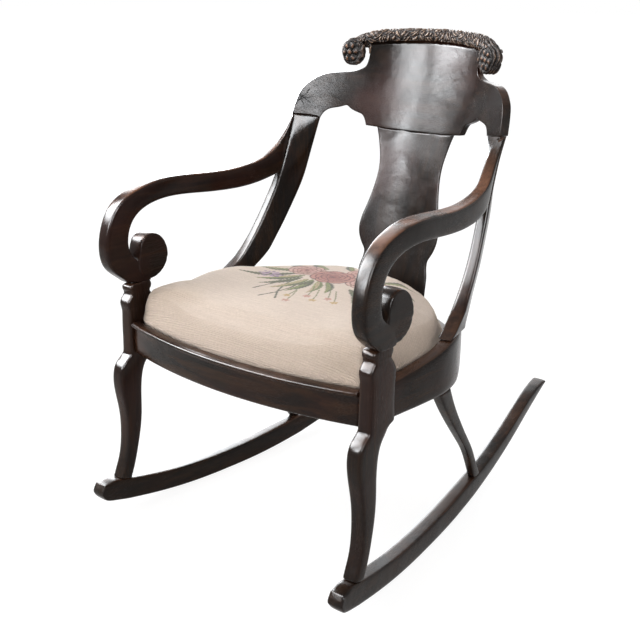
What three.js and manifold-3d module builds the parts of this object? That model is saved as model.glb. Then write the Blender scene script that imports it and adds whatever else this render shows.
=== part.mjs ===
// A mahogany rocking armchair with bow runners, scrolled arms, a bowed back and a drop-in needlework seat.
// Millimetres, +Z up. The chair faces -Y and stands with the lowest part of its runners on Z = 0.
// Each wooden member, seat layer and screw is a body of its own.
import * as THREE from 'three';
import Module from 'manifold-3d';
import { mergeVertices } from 'three/addons/utils/BufferGeometryUtils.js';

const wasm = await Module();
wasm.setup();

// Fits
const seam = 0.3; // gap left at every glued or resting joint
const weldGap = 0.001; // points nearer than this are one point when solids are joined
const cutOverrun = 4; // how far a cutting tool runs past a face

// Heights of the chair's main levels
const railBottomZ = 322;
const railHeight = 63;
const stileFootZ = 412;
const shoulderJointZ = 724;
const shoulderJointRise = 8; // how much higher the joint is at the outer edge of a stile
const crestBaseZ = 710;
const crestRise = 167;
const crestEndEase = 0.6; // rounding of the crest's two ends
const crestSag = 5; // how much lower the crest's edge is in the middle, above the splat
const armTopZ = 645;
const armFootZ = 456;

// Widths and depths, half widths measured from the middle
const frontHalfWidth = 292; // outer face of the front legs
const boardThickness = 29; // front legs and their posts
const legLean = 4; // how far the foot of a front leg stands outside its post
const edgeEase = 2.5; // worn flat along the long edges of the wooden members
const armReach = 402; // how far the arms reach in front of the middle of the chair
const armOverhang = 38; // how far they reach beyond the front posts
const legFrontY = armOverhang - armReach; // front face of the front posts
const postDepth = 67;
const sideSwell = 5; // how far the sides of the seat frame swell beyond the front legs
const shoulderInset = 50; // how far each shoulder stands inside the front legs
const sideBulge = frontHalfWidth + sideSwell;
const shoulderHalfWidth = frontHalfWidth - shoulderInset;

// Seat frame
const railThickness = 28;
const frontSetback = 6; // how far the ends of the front rail stand behind the posts' faces
const frontBow = 38; // how far the front rail bows out between the legs
const lipReach = 8;
const lipHeight = 9;
const seatRebate = 14; // wood left outside the seat along the top of the front rail
const rearRailOuterY = 119; // outer face of the rear rail on the middle line
const rearRailTopZ = 366;

// Back
const backFootY = 114; // face of the splat at the level of the seat
const backFootZ = 421;
const backLeanShare = 0.252; // how far the back falls away for each unit of height
const backSag = 3;
const backBow = 110; // depth of the bowed back from its middle to a shoulder
const panelThickness = 13;
const wingThickness = 16;
const splatThickness = 5;
const splatHalfWidth = 94;
const splatRecess = 3; // the splat's face stands this far behind the crest's face
const splatTopGap = 0.6;
const tongueReach = 10;
const tongueThickness = 2.4;
const tongueShare = 0.74; // width of the tongue as a share of the splat's
const shoeHeight = 19;
const shoeThickness = 24;
const shoeInset = 2; // ends of the shoe inside the widest part of the splat
const shoeHalfWidth = splatHalfWidth - shoeInset;
const stileThickness = 23;
const stileDepth = 60;
const stileInnerShare = 0.81; // inner edge of a stile's top as a share of the shoulder's half width

// Carved roll on the crest
const rollHeight = 22;
const rollLift = 4; // how far the underside of the roll stands above the crest's rise
const rollDepth = 30;
const rollOverhang = 12;
const rollHalfLength = shoulderHalfWidth * 0.645;
const rollDroop = 8;
const voluteRadius = 24;
const voluteHeight = 27;
const voluteX = shoulderHalfWidth * 0.649;
const voluteZ = 855;
const voluteDome = 1.5; // rise of the volute's face and the rounding of its two rims
const voluteFrontEase = 4;
const voluteRearEase = 5;

// Arms
const scrollRadius = 43;
const scrollSetback = 61; // centre of the scroll behind the post's face
const scrollY = legFrontY + scrollSetback;
const scrollZ = 502;

// Runners
const runnerRadius = 1130;
const runnerLowY = -133;
const runnerFrontY = -447;
const runnerRearY = 447;
const runnerWidth = 30;
const runnerDepth = 41;
const runnerInset = 39.5; // runners' outer faces inside the front legs at the middle of the chair
const runnerMidX = frontHalfWidth - runnerInset;
const runnerToeIn = 0.1133; // how much nearer the runners come for each unit toward the rear
const runnerFlat = 25; // half length of the worn flat at the lowest point
const tailLift = 16;
const tailStartY = 300;

// Rear legs
const rearLegWidth = 24;
const rearLegInset = 3; // tops of the rear legs inside the front legs
const rearLegTopX = frontHalfWidth - rearLegInset;
const rearLegDepth = 37;
const rearLegTopY = -138;
const rearLegFootY = 78;

// Drop-in seat
const seatDrop = 4; // play between the drop-in frame and the rails
const cornerRound = 10; // rounding of the seat's front corners
const seatFrameThickness = 20;
const seatFrameWidth = 45;
const seatFrameZ = 352;
const frontMemberDepth = 75; // from the posts' faces to the joint behind the drop-in frame's front member
const rearSplitY = 10; // joint in front of the drop-in frame's rear member
const webbingWidth = 50;
const webbingThickness = 1.6;
const clothThickness = 1.2;
const crownZ = 451;
const cushionEdgeZ = 388;
const coverThickness = 3;
const padDraw = 0.02; // share by which the cushion's foot is drawn in
const cushionBulge = 9.5; // how much fuller the cushion is at its front corners than its frame

// Corner blocks and the screws in the runners
const blockLeg = 62;
const blockHeight = 26;
const screwHeadRadius = 4.6;
const screwShankRadius = 2.2;
const screwHeadDepth = 3;
const runnerScrewLength = 62;

// Finishes
const mahogany = { color: 0x2a1712, roughness: 0.32, metalness: 0 };
const veneer = { color: 0x26140f, roughness: 0.25, metalness: 0 };
const carving = { color: 0x3a2418, roughness: 0.42, metalness: 0 };
const needlework = { color: 0xcdb5a4, roughness: 0.95, metalness: 0 };
const ashWood = { color: 0xb08a5c, roughness: 0.7, metalness: 0 };
const jute = { color: 0xa98c62, roughness: 0.95, metalness: 0 };
const hair = { color: 0x5c4a3a, roughness: 1, metalness: 0 };
const steel = { color: 0x8b8b88, roughness: 0.4, metalness: 1 };

const chair = new THREE.Group();

function addPiece(name, geometry, finish) {
  const mesh = new THREE.Mesh(geometry, new THREE.MeshStandardMaterial(finish));
  mesh.name = name;
  chair.add(mesh);
}

function vec(x, y, z) {
  return new THREE.Vector3(x, y, z);
}

function mix(a, b, t) {
  return a + (b - a) * t;
}

function smooth(t) {
  const s = Math.min(Math.max(t, 0), 1);
  return s * s * (3 - 2 * s);
}

// A value read from rows of [place, value, value ...] by straight lines between them.
function readRows(rows, place, column) {
  const last = rows.length - 1;
  if (place <= rows[0][0]) return rows[0][column];
  for (let i = 0; i < last; i += 1) {
    if (place <= rows[i + 1][0]) {
      const t = (place - rows[i][0]) / (rows[i + 1][0] - rows[i][0]);
      return mix(rows[i][column], rows[i + 1][column], t);
    }
  }
  return rows[last][column];
}

// The cap of a ring: its outline is flattened onto the plane it lies nearest to and triangulated there.
function capFaces(ring) {
  const normal = vec(0, 0, 0);
  ring.forEach((p, i) => normal.add(p.clone().cross(ring[(i + 1) % ring.length])));
  normal.normalize();
  const across = Math.abs(normal.z) < 0.8 ? vec(0, 0, 1).cross(normal) : vec(1, 0, 0).cross(normal);
  across.normalize();
  const along = normal.clone().cross(across);
  const flat = ring.map((p) => new THREE.Vector2(p.dot(across), p.dot(along)));
  return THREE.ShapeUtils.triangulateShape(flat, []);
}

// A closed body through rings that have the same number of points, with both ends capped.
function loft(rings) {
  const count = rings[0].length;
  const positions = [];
  rings.forEach((ring) => ring.forEach((p) => positions.push(p.x, p.y, p.z)));
  const faces = [];
  for (let r = 0; r < rings.length - 1; r += 1) {
    for (let i = 0; i < count; i += 1) {
      const a = r * count + i;
      const b = r * count + ((i + 1) % count);
      faces.push([a, b, b + count], [a, b + count, a + count]);
    }
  }
  const lastStart = (rings.length - 1) * count;
  capFaces(rings[0]).forEach(([a, b, c]) => faces.push([c, b, a]));
  const lastCap = capFaces(rings[rings.length - 1]);
  lastCap.forEach((face) => faces.push(face.map((i) => i + lastStart)));
  return outward(positions, faces);
}

// Faces are turned over when the signed volume they enclose is negative.
function outward(positions, faces) {
  const at = (i) => vec(positions[3 * i], positions[3 * i + 1], positions[3 * i + 2]);
  let volume = 0;
  faces.forEach(([a, b, c]) => { volume += at(a).dot(at(b).cross(at(c))); });
  const index = faces.flatMap(([a, b, c]) => (volume < 0 ? [a, c, b] : [a, b, c]));
  const geometry = new THREE.BufferGeometry();
  geometry.setAttribute('position', new THREE.Float32BufferAttribute(positions, 3));
  geometry.setIndex(index);
  return geometry;
}

// Joining and cutting
function toSolid(source) {
  const bare = source.clone();
  bare.deleteAttribute('normal');
  bare.deleteAttribute('uv');
  const merged = mergeVertices(bare, weldGap);
  const vertProperties = new Float32Array(merged.attributes.position.array);
  const triVerts = new Uint32Array(merged.index.array);
  return new wasm.Manifold(new wasm.Mesh({ numProp: 3, vertProperties, triVerts }));
}

function toGeometry(solid) {
  const mesh = solid.getMesh();
  const geometry = new THREE.BufferGeometry();
  geometry.setAttribute('position', new THREE.Float32BufferAttribute(mesh.vertProperties, 3));
  geometry.setIndex(Array.from(mesh.triVerts));
  return geometry;
}

function join(first, second) {
  return toGeometry(toSolid(first).add(toSolid(second)));
}

function cut(body, tools) {
  let solid = toSolid(body);
  tools.forEach((tool) => { solid = solid.subtract(toSolid(tool)); });
  return toGeometry(solid);
}

// The left-hand piece is the right-hand one mirrored, with its faces turned back over.
function mirrored(source) {
  const geometry = source.clone().applyMatrix4(new THREE.Matrix4().makeScale(-1, 1, 1));
  const flat = geometry.index.array;
  for (let i = 0; i < flat.length; i += 3) {
    [flat[i + 1], flat[i + 2]] = [flat[i + 2], flat[i + 1]];
  }
  return geometry;
}

function addPair(name, rightGeometry, finish) {
  addPiece(`right_${name}`, rightGeometry, finish);
  addPiece(`left_${name}`, mirrored(rightGeometry), finish);
}

// Four corners with each one eased by a small flat, which gives a ring of eight points.
function easedRing(corners, ease) {
  return corners.flatMap((corner, i) => {
    const before = corners[(i + 3) % 4];
    const after = corners[(i + 1) % 4];
    const back = Math.min(ease / corner.distanceTo(before), 0.3);
    const ahead = Math.min(ease / corner.distanceTo(after), 0.3);
    return [corner.clone().lerp(before, back), corner.clone().lerp(after, ahead)];
  });
}

// Runners: underside, upper side and the line of their outer face
function runnerUnderZ(y) {
  const reach = Math.max(Math.abs(y - runnerLowY) - runnerFlat, 0);
  const arc = runnerRadius - Math.sqrt(runnerRadius * runnerRadius - reach * reach);
  const tail = Math.max((y - tailStartY) / (runnerRearY - tailStartY), 0);
  return arc - tailLift * tail * tail;
}

// Rows of [share of the length from the middle, share of the runner's depth]
const runnerDepthShares = [
  [-1, 0.3], [-0.985, 0.62], [-0.965, 0.9], [-0.935, 1.08], [-0.9, 1.09], [-0.6, 1.02], [-0.3, 1],
  [0.03, 1.07], [0.2, 0.97], [0.42, 0.88], [0.67, 0.77], [0.8, 0.7], [0.91, 0.47], [0.98, 0.27], [1, 0.14],
];
const noseRiseShares = [[-1, 0.28], [-0.985, 0.06], [-0.965, 0], [1, 0]];

function runnerSpan(y) {
  const middle = (runnerFrontY + runnerRearY) / 2;
  const share = (y - middle) / ((runnerRearY - runnerFrontY) / 2);
  const under = runnerUnderZ(y);
  const low = under + runnerDepth * readRows(noseRiseShares, share, 1);
  return { low, high: under + runnerDepth * readRows(runnerDepthShares, share, 1) + noseLift(share) };
}

function noseLift(share) {
  return share < -0.98 ? runnerDepth * 0.24 : 0;
}

function runnerOuterX(y) {
  return runnerMidX - runnerToeIn * y;
}

function makeRunner() {
  const stationShares = [
    -1, -0.985, -0.965, -0.935, -0.9, -0.84, -0.78, -0.7, -0.62, -0.54, -0.46, -0.38, -0.353, -0.298, -0.242,
    -0.2, -0.12, -0.04, 0.04, 0.12, 0.2, 0.28, 0.36, 0.44, 0.52, 0.6, 0.67, 0.74, 0.8, 0.86, 0.91, 0.95,
    0.98, 1,
  ];
  const middle = (runnerFrontY + runnerRearY) / 2;
  const half = (runnerRearY - runnerFrontY) / 2;
  const rings = stationShares.map((share) => {
    const y = middle + half * share;
    const { low, high } = runnerSpan(y);
    const outer = runnerOuterX(y);
    const inner = outer - runnerWidth;
    const corners = [vec(outer, y, low), vec(outer, y, high), vec(inner, y, high), vec(inner, y, low)];
    return easedRing(corners, edgeEase);
  });
  return loft(rings);
}

// Front legs: one board from the runner up to the scroll of the arm.
// Rows of [share of the height, front edge, rear edge]; the edges are shares of the post's depth.
const frontLegShares = [
  [0, -0.57, -0.2], [0.035, -0.52, -0.09], [0.09, -0.37, 0.02], [0.15, -0.28, 0.11], [0.24, -0.24, 0.24],
  [0.32, -0.25, 0.3], [0.385, -0.31, 0.31], [0.44, -0.38, 0.31], [0.5, -0.44, 0.34], [0.545, -0.44, 0.39],
  [0.585, -0.4, 0.48], [0.61, -0.31, 0.62], [0.63, -0.16, 0.71], [0.648, -0.03, 0.77], [0.66, -0.01, 1],
  [0.82, 0, 1], [0.85, 0.02, 1.03], [0.876, 0.01, 1.04], [0.9, -0.04, 0.99], [0.918, -0.03, 0.94],
  [0.94, 0.1, 0.83], [0.955, 0.15, 0.78], [0.968, 0.08, 0.87], [0.985, 0.06, 0.88], [1, 0.14, 0.83],
];

function legEdgeY(share) {
  return legFrontY + postDepth * share;
}

function makeFrontLeg() {
  const footY = legEdgeY((frontLegShares[0][1] + frontLegShares[0][2]) / 2);
  const footZ = runnerSpan(footY).high + seam;
  const rings = frontLegShares.map(([rise, front, rear]) => {
    const z = mix(footZ, armFootZ, rise);
    const lean = legLean * (1 - smooth(rise / 0.6));
    const outer = frontHalfWidth + lean;
    const inner = outer - boardThickness;
    const frontY = legEdgeY(front);
    const rearY = legEdgeY(rear);
    const frontZ = rise === 0 ? runnerSpan(frontY).high + seam : z;
    const rearZ = rise === 0 ? runnerSpan(rearY).high + seam : z;
    return easedRing([vec(outer, frontY, frontZ), vec(outer, rearY, rearZ), vec(inner, rearY, rearZ),
      vec(inner, frontY, frontZ)], edgeEase);
  });
  return loft(rings);
}

// Arms: a band that springs from the stile, runs forward, curls down and stands on the post.
// Rows of [upper or outer point, lower or inner point], as shares of the reach forward and of the top height.
const armBandShares = [
  [0.197, 1.132, 0.218, 1.13], [0.154, 1.1, 0.192, 1.096], [0.119, 1.075, 0.172, 1.068],
  [0.082, 1.049, 0.142, 1.03], [0.042, 1.026, 0.109, 0.986], [-0.001, 1.01, 0.087, 0.956],
  [-0.052, 1.001, 0.03, 0.944], [-0.107, 0.995, -0.05, 0.932], [-0.199, 0.989, -0.164, 0.925],
  [-0.291, 0.988, -0.274, 0.926], [-0.398, 0.992, -0.388, 0.93], [-0.51, 0.997, -0.51, 0.938],
  [-0.627, 1, -0.622, 0.941], [-0.721, 0.994, -0.701, 0.936], [-0.808, 0.98, -0.764, 0.926],
  [-0.876, 0.964, -0.808, 0.912], [-0.933, 0.935, -0.838, 0.896], [-0.97, 0.899, -0.861, 0.874],
  [-0.993, 0.856, -0.873, 0.848], [-1, 0.819, -0.876, 0.823], [-0.995, 0.788, -0.866, 0.798],
  [-0.98, 0.763, -0.848, 0.78], [-0.953, 0.744, -0.821, 0.769], [-0.915, 0.726, -0.79, 0.757],
];
// Rows of [share of the reach, outer face, inner face], the faces as shares of the front half width.
const armFaceShares = [
  [-1, 1.031, 0.935], [-0.92, 1.027, 0.925], [-0.8, 1.018, 0.907], [-0.69, 1.015, 0.894],
  [-0.57, 1.013, 0.88], [-0.45, 0.995, 0.873], [-0.35, 0.983, 0.872], [-0.24, 0.966, 0.866],
  [-0.115, 0.942, 0.848],
  [-0.05, 0.928, 0.838], [0.05, 0.897, 0.818], [0.1, 0.87, 0.8], [0.15, 0.858, 0.8], [0.18, 0.854, 0.81],
  [0.22, 0.856, 0.824],
];

// How far the outer top edge turns back toward the shoulder, as shares of the reach.
const armTurnShares = [
  [-0.06, 0], [-0.001, 0.009], [0.042, 0.018], [0.1, 0.026], [0.154, 0.024], [0.197, 0.018],
];

function armOuterTop(share, rise) {
  const turned = share + readRows(armTurnShares, share, 1);
  const x = frontHalfWidth * readRows(armFaceShares, share, 1);
  return vec(x, armReach * turned, armTopZ * rise);
}

function armPoint(share, rise, column) {
  return vec(frontHalfWidth * readRows(armFaceShares, share, column), armReach * share, armTopZ * rise);
}

function makeArm() {
  const rings = armBandShares.map(([topY, topZ, lowY, lowZ]) => easedRing([armOuterTop(topY, topZ),
    armPoint(topY, topZ, 2), armPoint(lowY, lowZ, 2), armPoint(lowY, lowZ, 1)], edgeEase));
  // The foot of the band rests on the bead of the post.
  const footFront = legEdgeY(0.17) / armReach;
  const footRear = legEdgeY(0.86) / armReach;
  const footRise = (armFootZ + seam) / armTopZ;
  rings.push(easedRing([armPoint(footFront, footRise, 1), armPoint(footFront, footRise, 2),
    armPoint(footRear, footRise, 2), armPoint(footRear, footRise, 1)], edgeEase));
  return join(loft(rings), makeArmScroll());
}

// The curled end of the arm, an outline in shares of the scroll's radius around its centre.
const scrollShares = [
  [0.02, -1.03], [-0.45, -0.9], [-0.75, -0.45], [-0.7, 0.05], [-0.64, 0.42], [-0.5, 0.78], [-0.2, 0.99],
  [0.12, 1.02], [0.5, 0.87], [0.8, 0.55], [0.97, 0.08], [0.93, -0.32], [0.7, -0.68], [0.42, -0.9],
];

function makeArmScroll() {
  const points = scrollShares.map(([y, z]) => vec(scrollY + scrollRadius * y, scrollZ + scrollRadius * z, 0));
  const outline = new THREE.CatmullRomCurve3(points, true).getPoints(36).slice(0, 36);
  const share = scrollY / armReach;
  const outer = frontHalfWidth * readRows(armFaceShares, share, 1);
  const inner = frontHalfWidth * readRows(armFaceShares, share, 2);
  const ease = edgeEase;
  const ring = (x, inset) => outline.map((p) => {
    const toCentre = 1 - inset / Math.hypot(p.x - scrollY, p.y - scrollZ);
    return vec(x, scrollY + (p.x - scrollY) * toCentre, scrollZ + (p.y - scrollZ) * toCentre);
  });
  return loft([ring(inner, ease), ring(inner + ease, 0), ring(outer - ease, 0), ring(outer, ease)]);
}

// The bowed back: its face on the middle line, its hollow, and the direction square to it.
function backFaceY(z) {
  const rise = z - backFootZ;
  const fullRise = crestBaseZ + crestRise - backFootZ;
  const share = Math.min(Math.max(rise / fullRise, 0), 1);
  return backFootY + backLeanShare * rise - backSag * Math.sin(Math.PI * share);
}

function backPoint(x, z, depth) {
  const slope = (2 * backBow * x) / (shoulderHalfWidth * shoulderHalfWidth);
  const length = Math.hypot(slope, 1);
  const y = backFaceY(z) - backBow * (x / shoulderHalfWidth) ** 2;
  return vec(x + (depth * slope) / length, y + depth / length, z);
}

// Height of the joint between a stile and the crest.
function jointZ(x) {
  const share = (Math.abs(x) / shoulderHalfWidth - stileInnerShare) / (1 - stileInnerShare);
  return shoulderJointZ + shoulderJointRise * Math.min(Math.max(share, 0), 1);
}

function crestThickness(x) {
  return mix(panelThickness, wingThickness, smooth((Math.abs(x) / shoulderHalfWidth - 0.55) / 0.25));
}

// Underside of the roll along the top of the crest.
function rollUnderZ(x) {
  return crestBaseZ + crestRise + rollLift - rollDroop * (x / (shoulderHalfWidth * 0.56)) ** 2;
}

// Rows of [share of the half width, lower edge, upper edge], the edges as shares of the crest's rise.
// An upper edge of 2 means that the panel runs up to the roll.
const crestShares = [
  [0, 0, 2], [0.12, 0, 2], [0.24, 0, 2], [0.35, 0, 2], [0.43, 0, 2], [0.462, 0.006, 2], [0.474, 0.048, 2],
  [0.485, 0.09, 2], [0.498, 0.117, 2], [0.511, 0.136, 2], [0.524, 0.144, 2], [0.527, 0.145, 0.8],
  [0.534, 0.149, 0.72], [0.548, 0.157, 0.685], [0.592, 0.184, 0.655], [0.614, 0.212, 0.642],
  [0.6335, 0.239, 0.636], [0.654, 0.228, 0.632], [0.686, 0.21, 0.628], [0.744, 0.198, 0.62],
  [0.773, 0.177, 0.615],
  [0.797, 0.138, 0.612], [0.81, 0.085, 0.607], [0.86, 0.085, 0.582], [0.905, 0.085, 0.533],
  [0.955, 0.085, 0.455], [0.975, 0.085, 0.39], [0.992, 0.085, 0.25], [1, 0.085, 0.15],
];

// Lower edge of the crest over the splat, a shallow curve.
function crestEdgeZ(x) {
  const span = shoulderHalfWidth * 0.43;
  return crestBaseZ - crestSag * Math.max(1 - (x / span) ** 2, 0);
}

function makeCrest() {
  const crestRows = 5;
  const both = [...crestShares.slice(1).reverse().map(([x, low, high]) => [-x, low, high]), ...crestShares];
  const rings = both.map(([share, low, high]) => {
    const x = shoulderHalfWidth * share;
    const edgeZ = low > 0 ? crestBaseZ + crestRise * low : crestEdgeZ(x);
    const lowZ = Math.abs(share) > 0.8 ? jointZ(x) : edgeZ;
    const highZ = high > 1 ? rollUnderZ(x) - seam : crestBaseZ + crestRise * high;
    const front = [];
    const rear = [];
    const rounding = Math.abs(share) < 1 ? 0 : Math.sign(share) * crestEndEase;
    for (let i = 0; i <= crestRows; i += 1) {
      const z = mix(lowZ, highZ, i / crestRows);
      const edgeX = x - rounding * ((2 * i) / crestRows - 1) ** 2;
      front.push(backPoint(edgeX, z, 0));
      rear.unshift(backPoint(edgeX, z, crestThickness(x)));
    }
    return [...front, ...rear];
  });
  return loft(rings);
}

// Top of the roll: nearly level, then falling quickly into the volutes.
const rollTopShares = [
  [0, 1], [0.3, 0.97], [0.525, 0.9], [0.686, 0.81], [0.77, 0.72], [0.85, 0.62], [0.93, 0.42], [1, 0.14],
  [1.06, -0.3], [1.1, -0.75],
];

// The small horn under the roll that rounds the top of the slot beside each volute.
// Rows of [share of the half width, drop below the roll as a share of the crest's rise].
const hornShares = [
  [0.527, -0.002], [0.5292, 0.137], [0.532, 0.12], [0.538, 0.093], [0.547, 0.071], [0.556, 0.058],
  [0.567, 0.051], [0.6, -0.002],
];

function makeRoll() {
  const hornStations = hornShares.map(([share]) => (shoulderHalfWidth * share) / rollHalfLength);
  const stationShares = [0, 0.15, 0.3, 0.45, 0.6, 0.72, ...hornStations, 0.97, 1.01, 1.05, 1.08, 1.1];
  const both = [...stationShares.slice(1).reverse().map((s) => -s), ...stationShares];
  const rings = both.map((share) => {
    const x = rollHalfLength * share;
    const low = rollUnderZ(x);
    const peak = rollUnderZ(0) + rollHeight * readRows(rollTopShares, Math.abs(share), 1);
    const high = Math.max(peak, low + rollHeight * 0.3);
    const behind = rollDepth - rollOverhang;
    const section = [
      [-rollOverhang * 0.6, 0], [-rollOverhang, 0.25], [-rollOverhang, 0.6], [-rollOverhang * 0.5, 0.9],
      [behind * 0.2, 1], [behind * 0.75, 0.9], [behind, 0.55], [behind, 0.1], [behind * 0.8, 0],
    ];
    const hornZ = low - crestRise * readRows(hornShares, Math.abs(x) / shoulderHalfWidth, 1);
    return [...section.map(([depth, rise]) => backPoint(x, mix(low, high, rise), depth)),
      backPoint(x, hornZ, behind * 0.7), backPoint(x, hornZ, 0)];
  });
  const band = loft(rings);
  return join(join(band, makeVolute(1)), makeVolute(-1));
}

function makeVolute(side) {
  const steps = 20;
  const rear = rollDepth - rollOverhang;
  const front = -rollOverhang;
  const rows = [[front - voluteDome, 0.55], [front, 0.85], [front + voluteFrontEase, 1],
    [rear - voluteRearEase, 1], [rear, 0.8]];
  const rings = rows.map(([depth, size]) => {
    const ring = [];
    for (let i = 0; i < steps; i += 1) {
      const turn = (2 * Math.PI * i) / steps;
      const across = voluteRadius * size * Math.cos(turn);
      const up = voluteHeight * size * Math.sin(turn);
      const centre = backPoint(side * voluteX, voluteZ, depth);
      const slope = (2 * backBow * side * voluteX) / (shoulderHalfWidth * shoulderHalfWidth);
      const length = Math.hypot(slope, 1);
      ring.push(vec(centre.x + across / length, centre.y - (across * slope) / length, centre.z + up));
    }
    return ring;
  });
  return loft(rings);
}

// Splat: half width by height, as shares of its widest half width.
const splatShares = [
  [0, 0.9], [0.11, 0.87], [0.147, 0.86], [0.175, 0.83], [0.197, 0.81], [0.237, 0.8], [0.256, 0.84],
  [0.296, 0.93], [0.355, 1], [0.414, 1], [0.479, 0.95], [0.535, 0.89], [0.594, 0.845], [0.646, 0.81],
  [0.709, 0.78],
  [0.77, 0.77], [0.832, 0.79], [0.895, 0.845], [0.957, 0.9], [1, 0.96],
];
const splatColumnShares = [-1, -0.6, -0.2, 0.2, 0.6, 1];

function splatFootZ() {
  return rearRailTopZ + shoeHeight + 2 * seam;
}

function makeSplat() {
  const rings = splatShares.map(([rise, width]) => {
    const half = splatHalfWidth * width;
    const heightAt = (x) => mix(splatFootZ(), crestEdgeZ(x) - splatTopGap, rise);
    const column = (s, depth) => backPoint(half * s, heightAt(half * s), depth);
    const front = splatColumnShares.map((s) => column(s, splatRecess));
    const rear = splatColumnShares.map((s) => column(s, splatRecess + splatThickness)).reverse();
    return [...front, ...rear];
  });
  return loft(rings);
}

// A loose tongue joins the splat to the crest, let into slots in both.
function tongue(grow) {
  const columns = [-1, -0.5, 0, 0.5, 1];
  const middle = splatRecess + splatThickness / 2;
  const half = splatHalfWidth * tongueShare + grow;
  const thick = tongueThickness / 2 + grow;
  const joinZ = crestEdgeZ(0) - splatTopGap / 2;
  const rings = [-1, 1].map((end) => {
    const z = joinZ + end * (tongueReach + grow);
    const front = columns.map((s) => backPoint(half * s, z, middle - thick));
    const rear = columns.map((s) => backPoint(half * s, z, middle + thick)).reverse();
    return [...front, ...rear];
  });
  return loft(rings);
}

function makeShoe() {
  const columns = [-1, -0.6, -0.2, 0.2, 0.6, 1];
  const footZ = rearRailTopZ + seam;
  const front = splatRecess + splatThickness / 2 - shoeThickness / 2;
  const rows = [[0, 1], [0.55, 1], [1, 0.72]];
  const rings = rows.map(([rise, slim]) => {
    const z = footZ + shoeHeight * rise;
    const inset = (shoeThickness * (1 - slim)) / 2;
    const line = (depth) => columns.map((s) => backPoint(shoeHalfWidth * s, footZ, depth).setZ(z));
    return [...line(front + inset), ...line(front + shoeThickness - inset).reverse()];
  });
  return loft(rings);
}

// Stiles: four-cornered sections from the seat frame up to the shoulder.
// Rows of [share of the height, front corner out, front corner back, thickness, its turn, depth, its turn].
// Out and back are shares of the shoulder's half width; thickness and depth are shares of the stile's own.
const stileShares = [
  [0, 1.207, -0.562, 1.22, 6, 1.5, 14], [0.018, 1.194, -0.483, 1.22, 8, 1.22, 15],
  [0.057, 1.174, -0.393, 1.26, 11, 1, 16], [0.1, 1.161, -0.306, 1.22, 12, 0.97, 20],
  [0.157, 1.14, -0.231, 1.13, 11, 0.98, 21.5], [0.28, 1.116, -0.103, 1, 8, 0.97, 22],
  [0.42, 1.091, 0.004, 0.97, 5, 0.97, 22.5], [0.57, 1.066, 0.112, 0.97, 8, 1, 23],
  [0.665, 1.054, 0.161, 0.98, 12, 1, 25], [0.795, 1.045, 0.24, 0.91, 22, 0.97, 30],
  [0.9, 1.037, 0.306, 0.82, 36, 0.97, 39],
];

function makeStile(grow) {
  const topZ = shoulderJointZ - seam + grow;
  const rings = stileShares.map(([rise, out, back, thick, thickTurn, depth, depthTurn]) => {
    const z = mix(stileFootZ + seam, topZ, rise);
    const a = THREE.MathUtils.degToRad(thickTurn);
    const b = THREE.MathUtils.degToRad(depthTurn);
    const acrossWay = vec(-Math.cos(a), -Math.sin(a), 0);
    const behindWay = vec(-Math.sin(b), Math.cos(b), 0);
    const corner = vec(shoulderHalfWidth * out, shoulderHalfWidth * back, z);
    corner.addScaledVector(acrossWay, -grow).addScaledVector(behindWay, -grow);
    const across = acrossWay.multiplyScalar(stileThickness * thick + 2 * grow);
    const behind = behindWay.multiplyScalar(stileDepth * depth + 2 * grow);
    return easedRing([corner, corner.clone().add(behind), corner.clone().add(behind).add(across),
      corner.clone().add(across)], edgeEase);
  });
  // The top section is the section of the crest's wing.
  const outer = shoulderHalfWidth + grow;
  const inner = shoulderHalfWidth * stileInnerShare - grow;
  const rearDepth = wingThickness + grow;
  const outerZ = topZ + shoulderJointRise;
  rings.push(easedRing([backPoint(outer, outerZ, rearDepth), backPoint(inner, topZ, rearDepth),
    backPoint(inner, topZ, -grow), backPoint(outer, outerZ, -grow)], edgeEase));
  return loft(rings);
}

// Seat frame in plan: its outer line from the rear of a front post, along the side rail and round to the
// middle of the rear rail. Rows of [share of the widest half width, share of the way back].
const frameLineShares = [
  [0.957, 0], [0.967, 0.077], [0.983, 0.161], [0.993, 0.257], [1, 0.317], [0.993, 0.389], [0.973, 0.454],
  [0.946, 0.507], [0.909, 0.56], [0.869, 0.613], [0.828, 0.656], [0.747, 0.726], [0.646, 0.8], [0.522, 0.873],
  [0.37, 0.94], [0.192, 0.986], [0, 1],
];

function frameLinePoint(row) {
  const last = frameLineShares.length - 1;
  const mirror = row > last;
  const [out, back] = frameLineShares[mirror ? 2 * last - row : row];
  const y = mix(legEdgeY(1) + seam, rearRailOuterY, back);
  return vec(sideBulge * out * (mirror ? -1 : 1), y, 0);
}

// The same line moved inward by some distance.
function frameLineInside(row, distance) {
  const along = frameLinePoint(row + 1).sub(frameLinePoint(Math.max(row - 1, 0))).normalize();
  const inward = row === 0 ? vec(-1, 0, 0) : vec(-along.y, along.x, 0);
  return frameLinePoint(row).addScaledVector(inward, distance);
}

function railRing(row, top) {
  const outer = frameLinePoint(row);
  const inner = frameLineInside(row, railThickness);
  return easedRing([outer.clone().setZ(railBottomZ), outer.clone().setZ(top), inner.clone().setZ(top),
    inner.clone().setZ(railBottomZ)], edgeEase);
}

// Rise of the side rail's top edge toward the stile, from the top of the front rail to the foot of the stile.
const sideTopShares = [0, 0.1, 0.3, 0.52, 0.68, 0.96, 1, 1, 1, 1, 1];

function makeSideRail() {
  const top = (row) => mix(railBottomZ + railHeight, stileFootZ, sideTopShares[row]);
  const rings = sideTopShares.map((share, row) => railRing(row, top(row)));
  return loft(rings);
}

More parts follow.
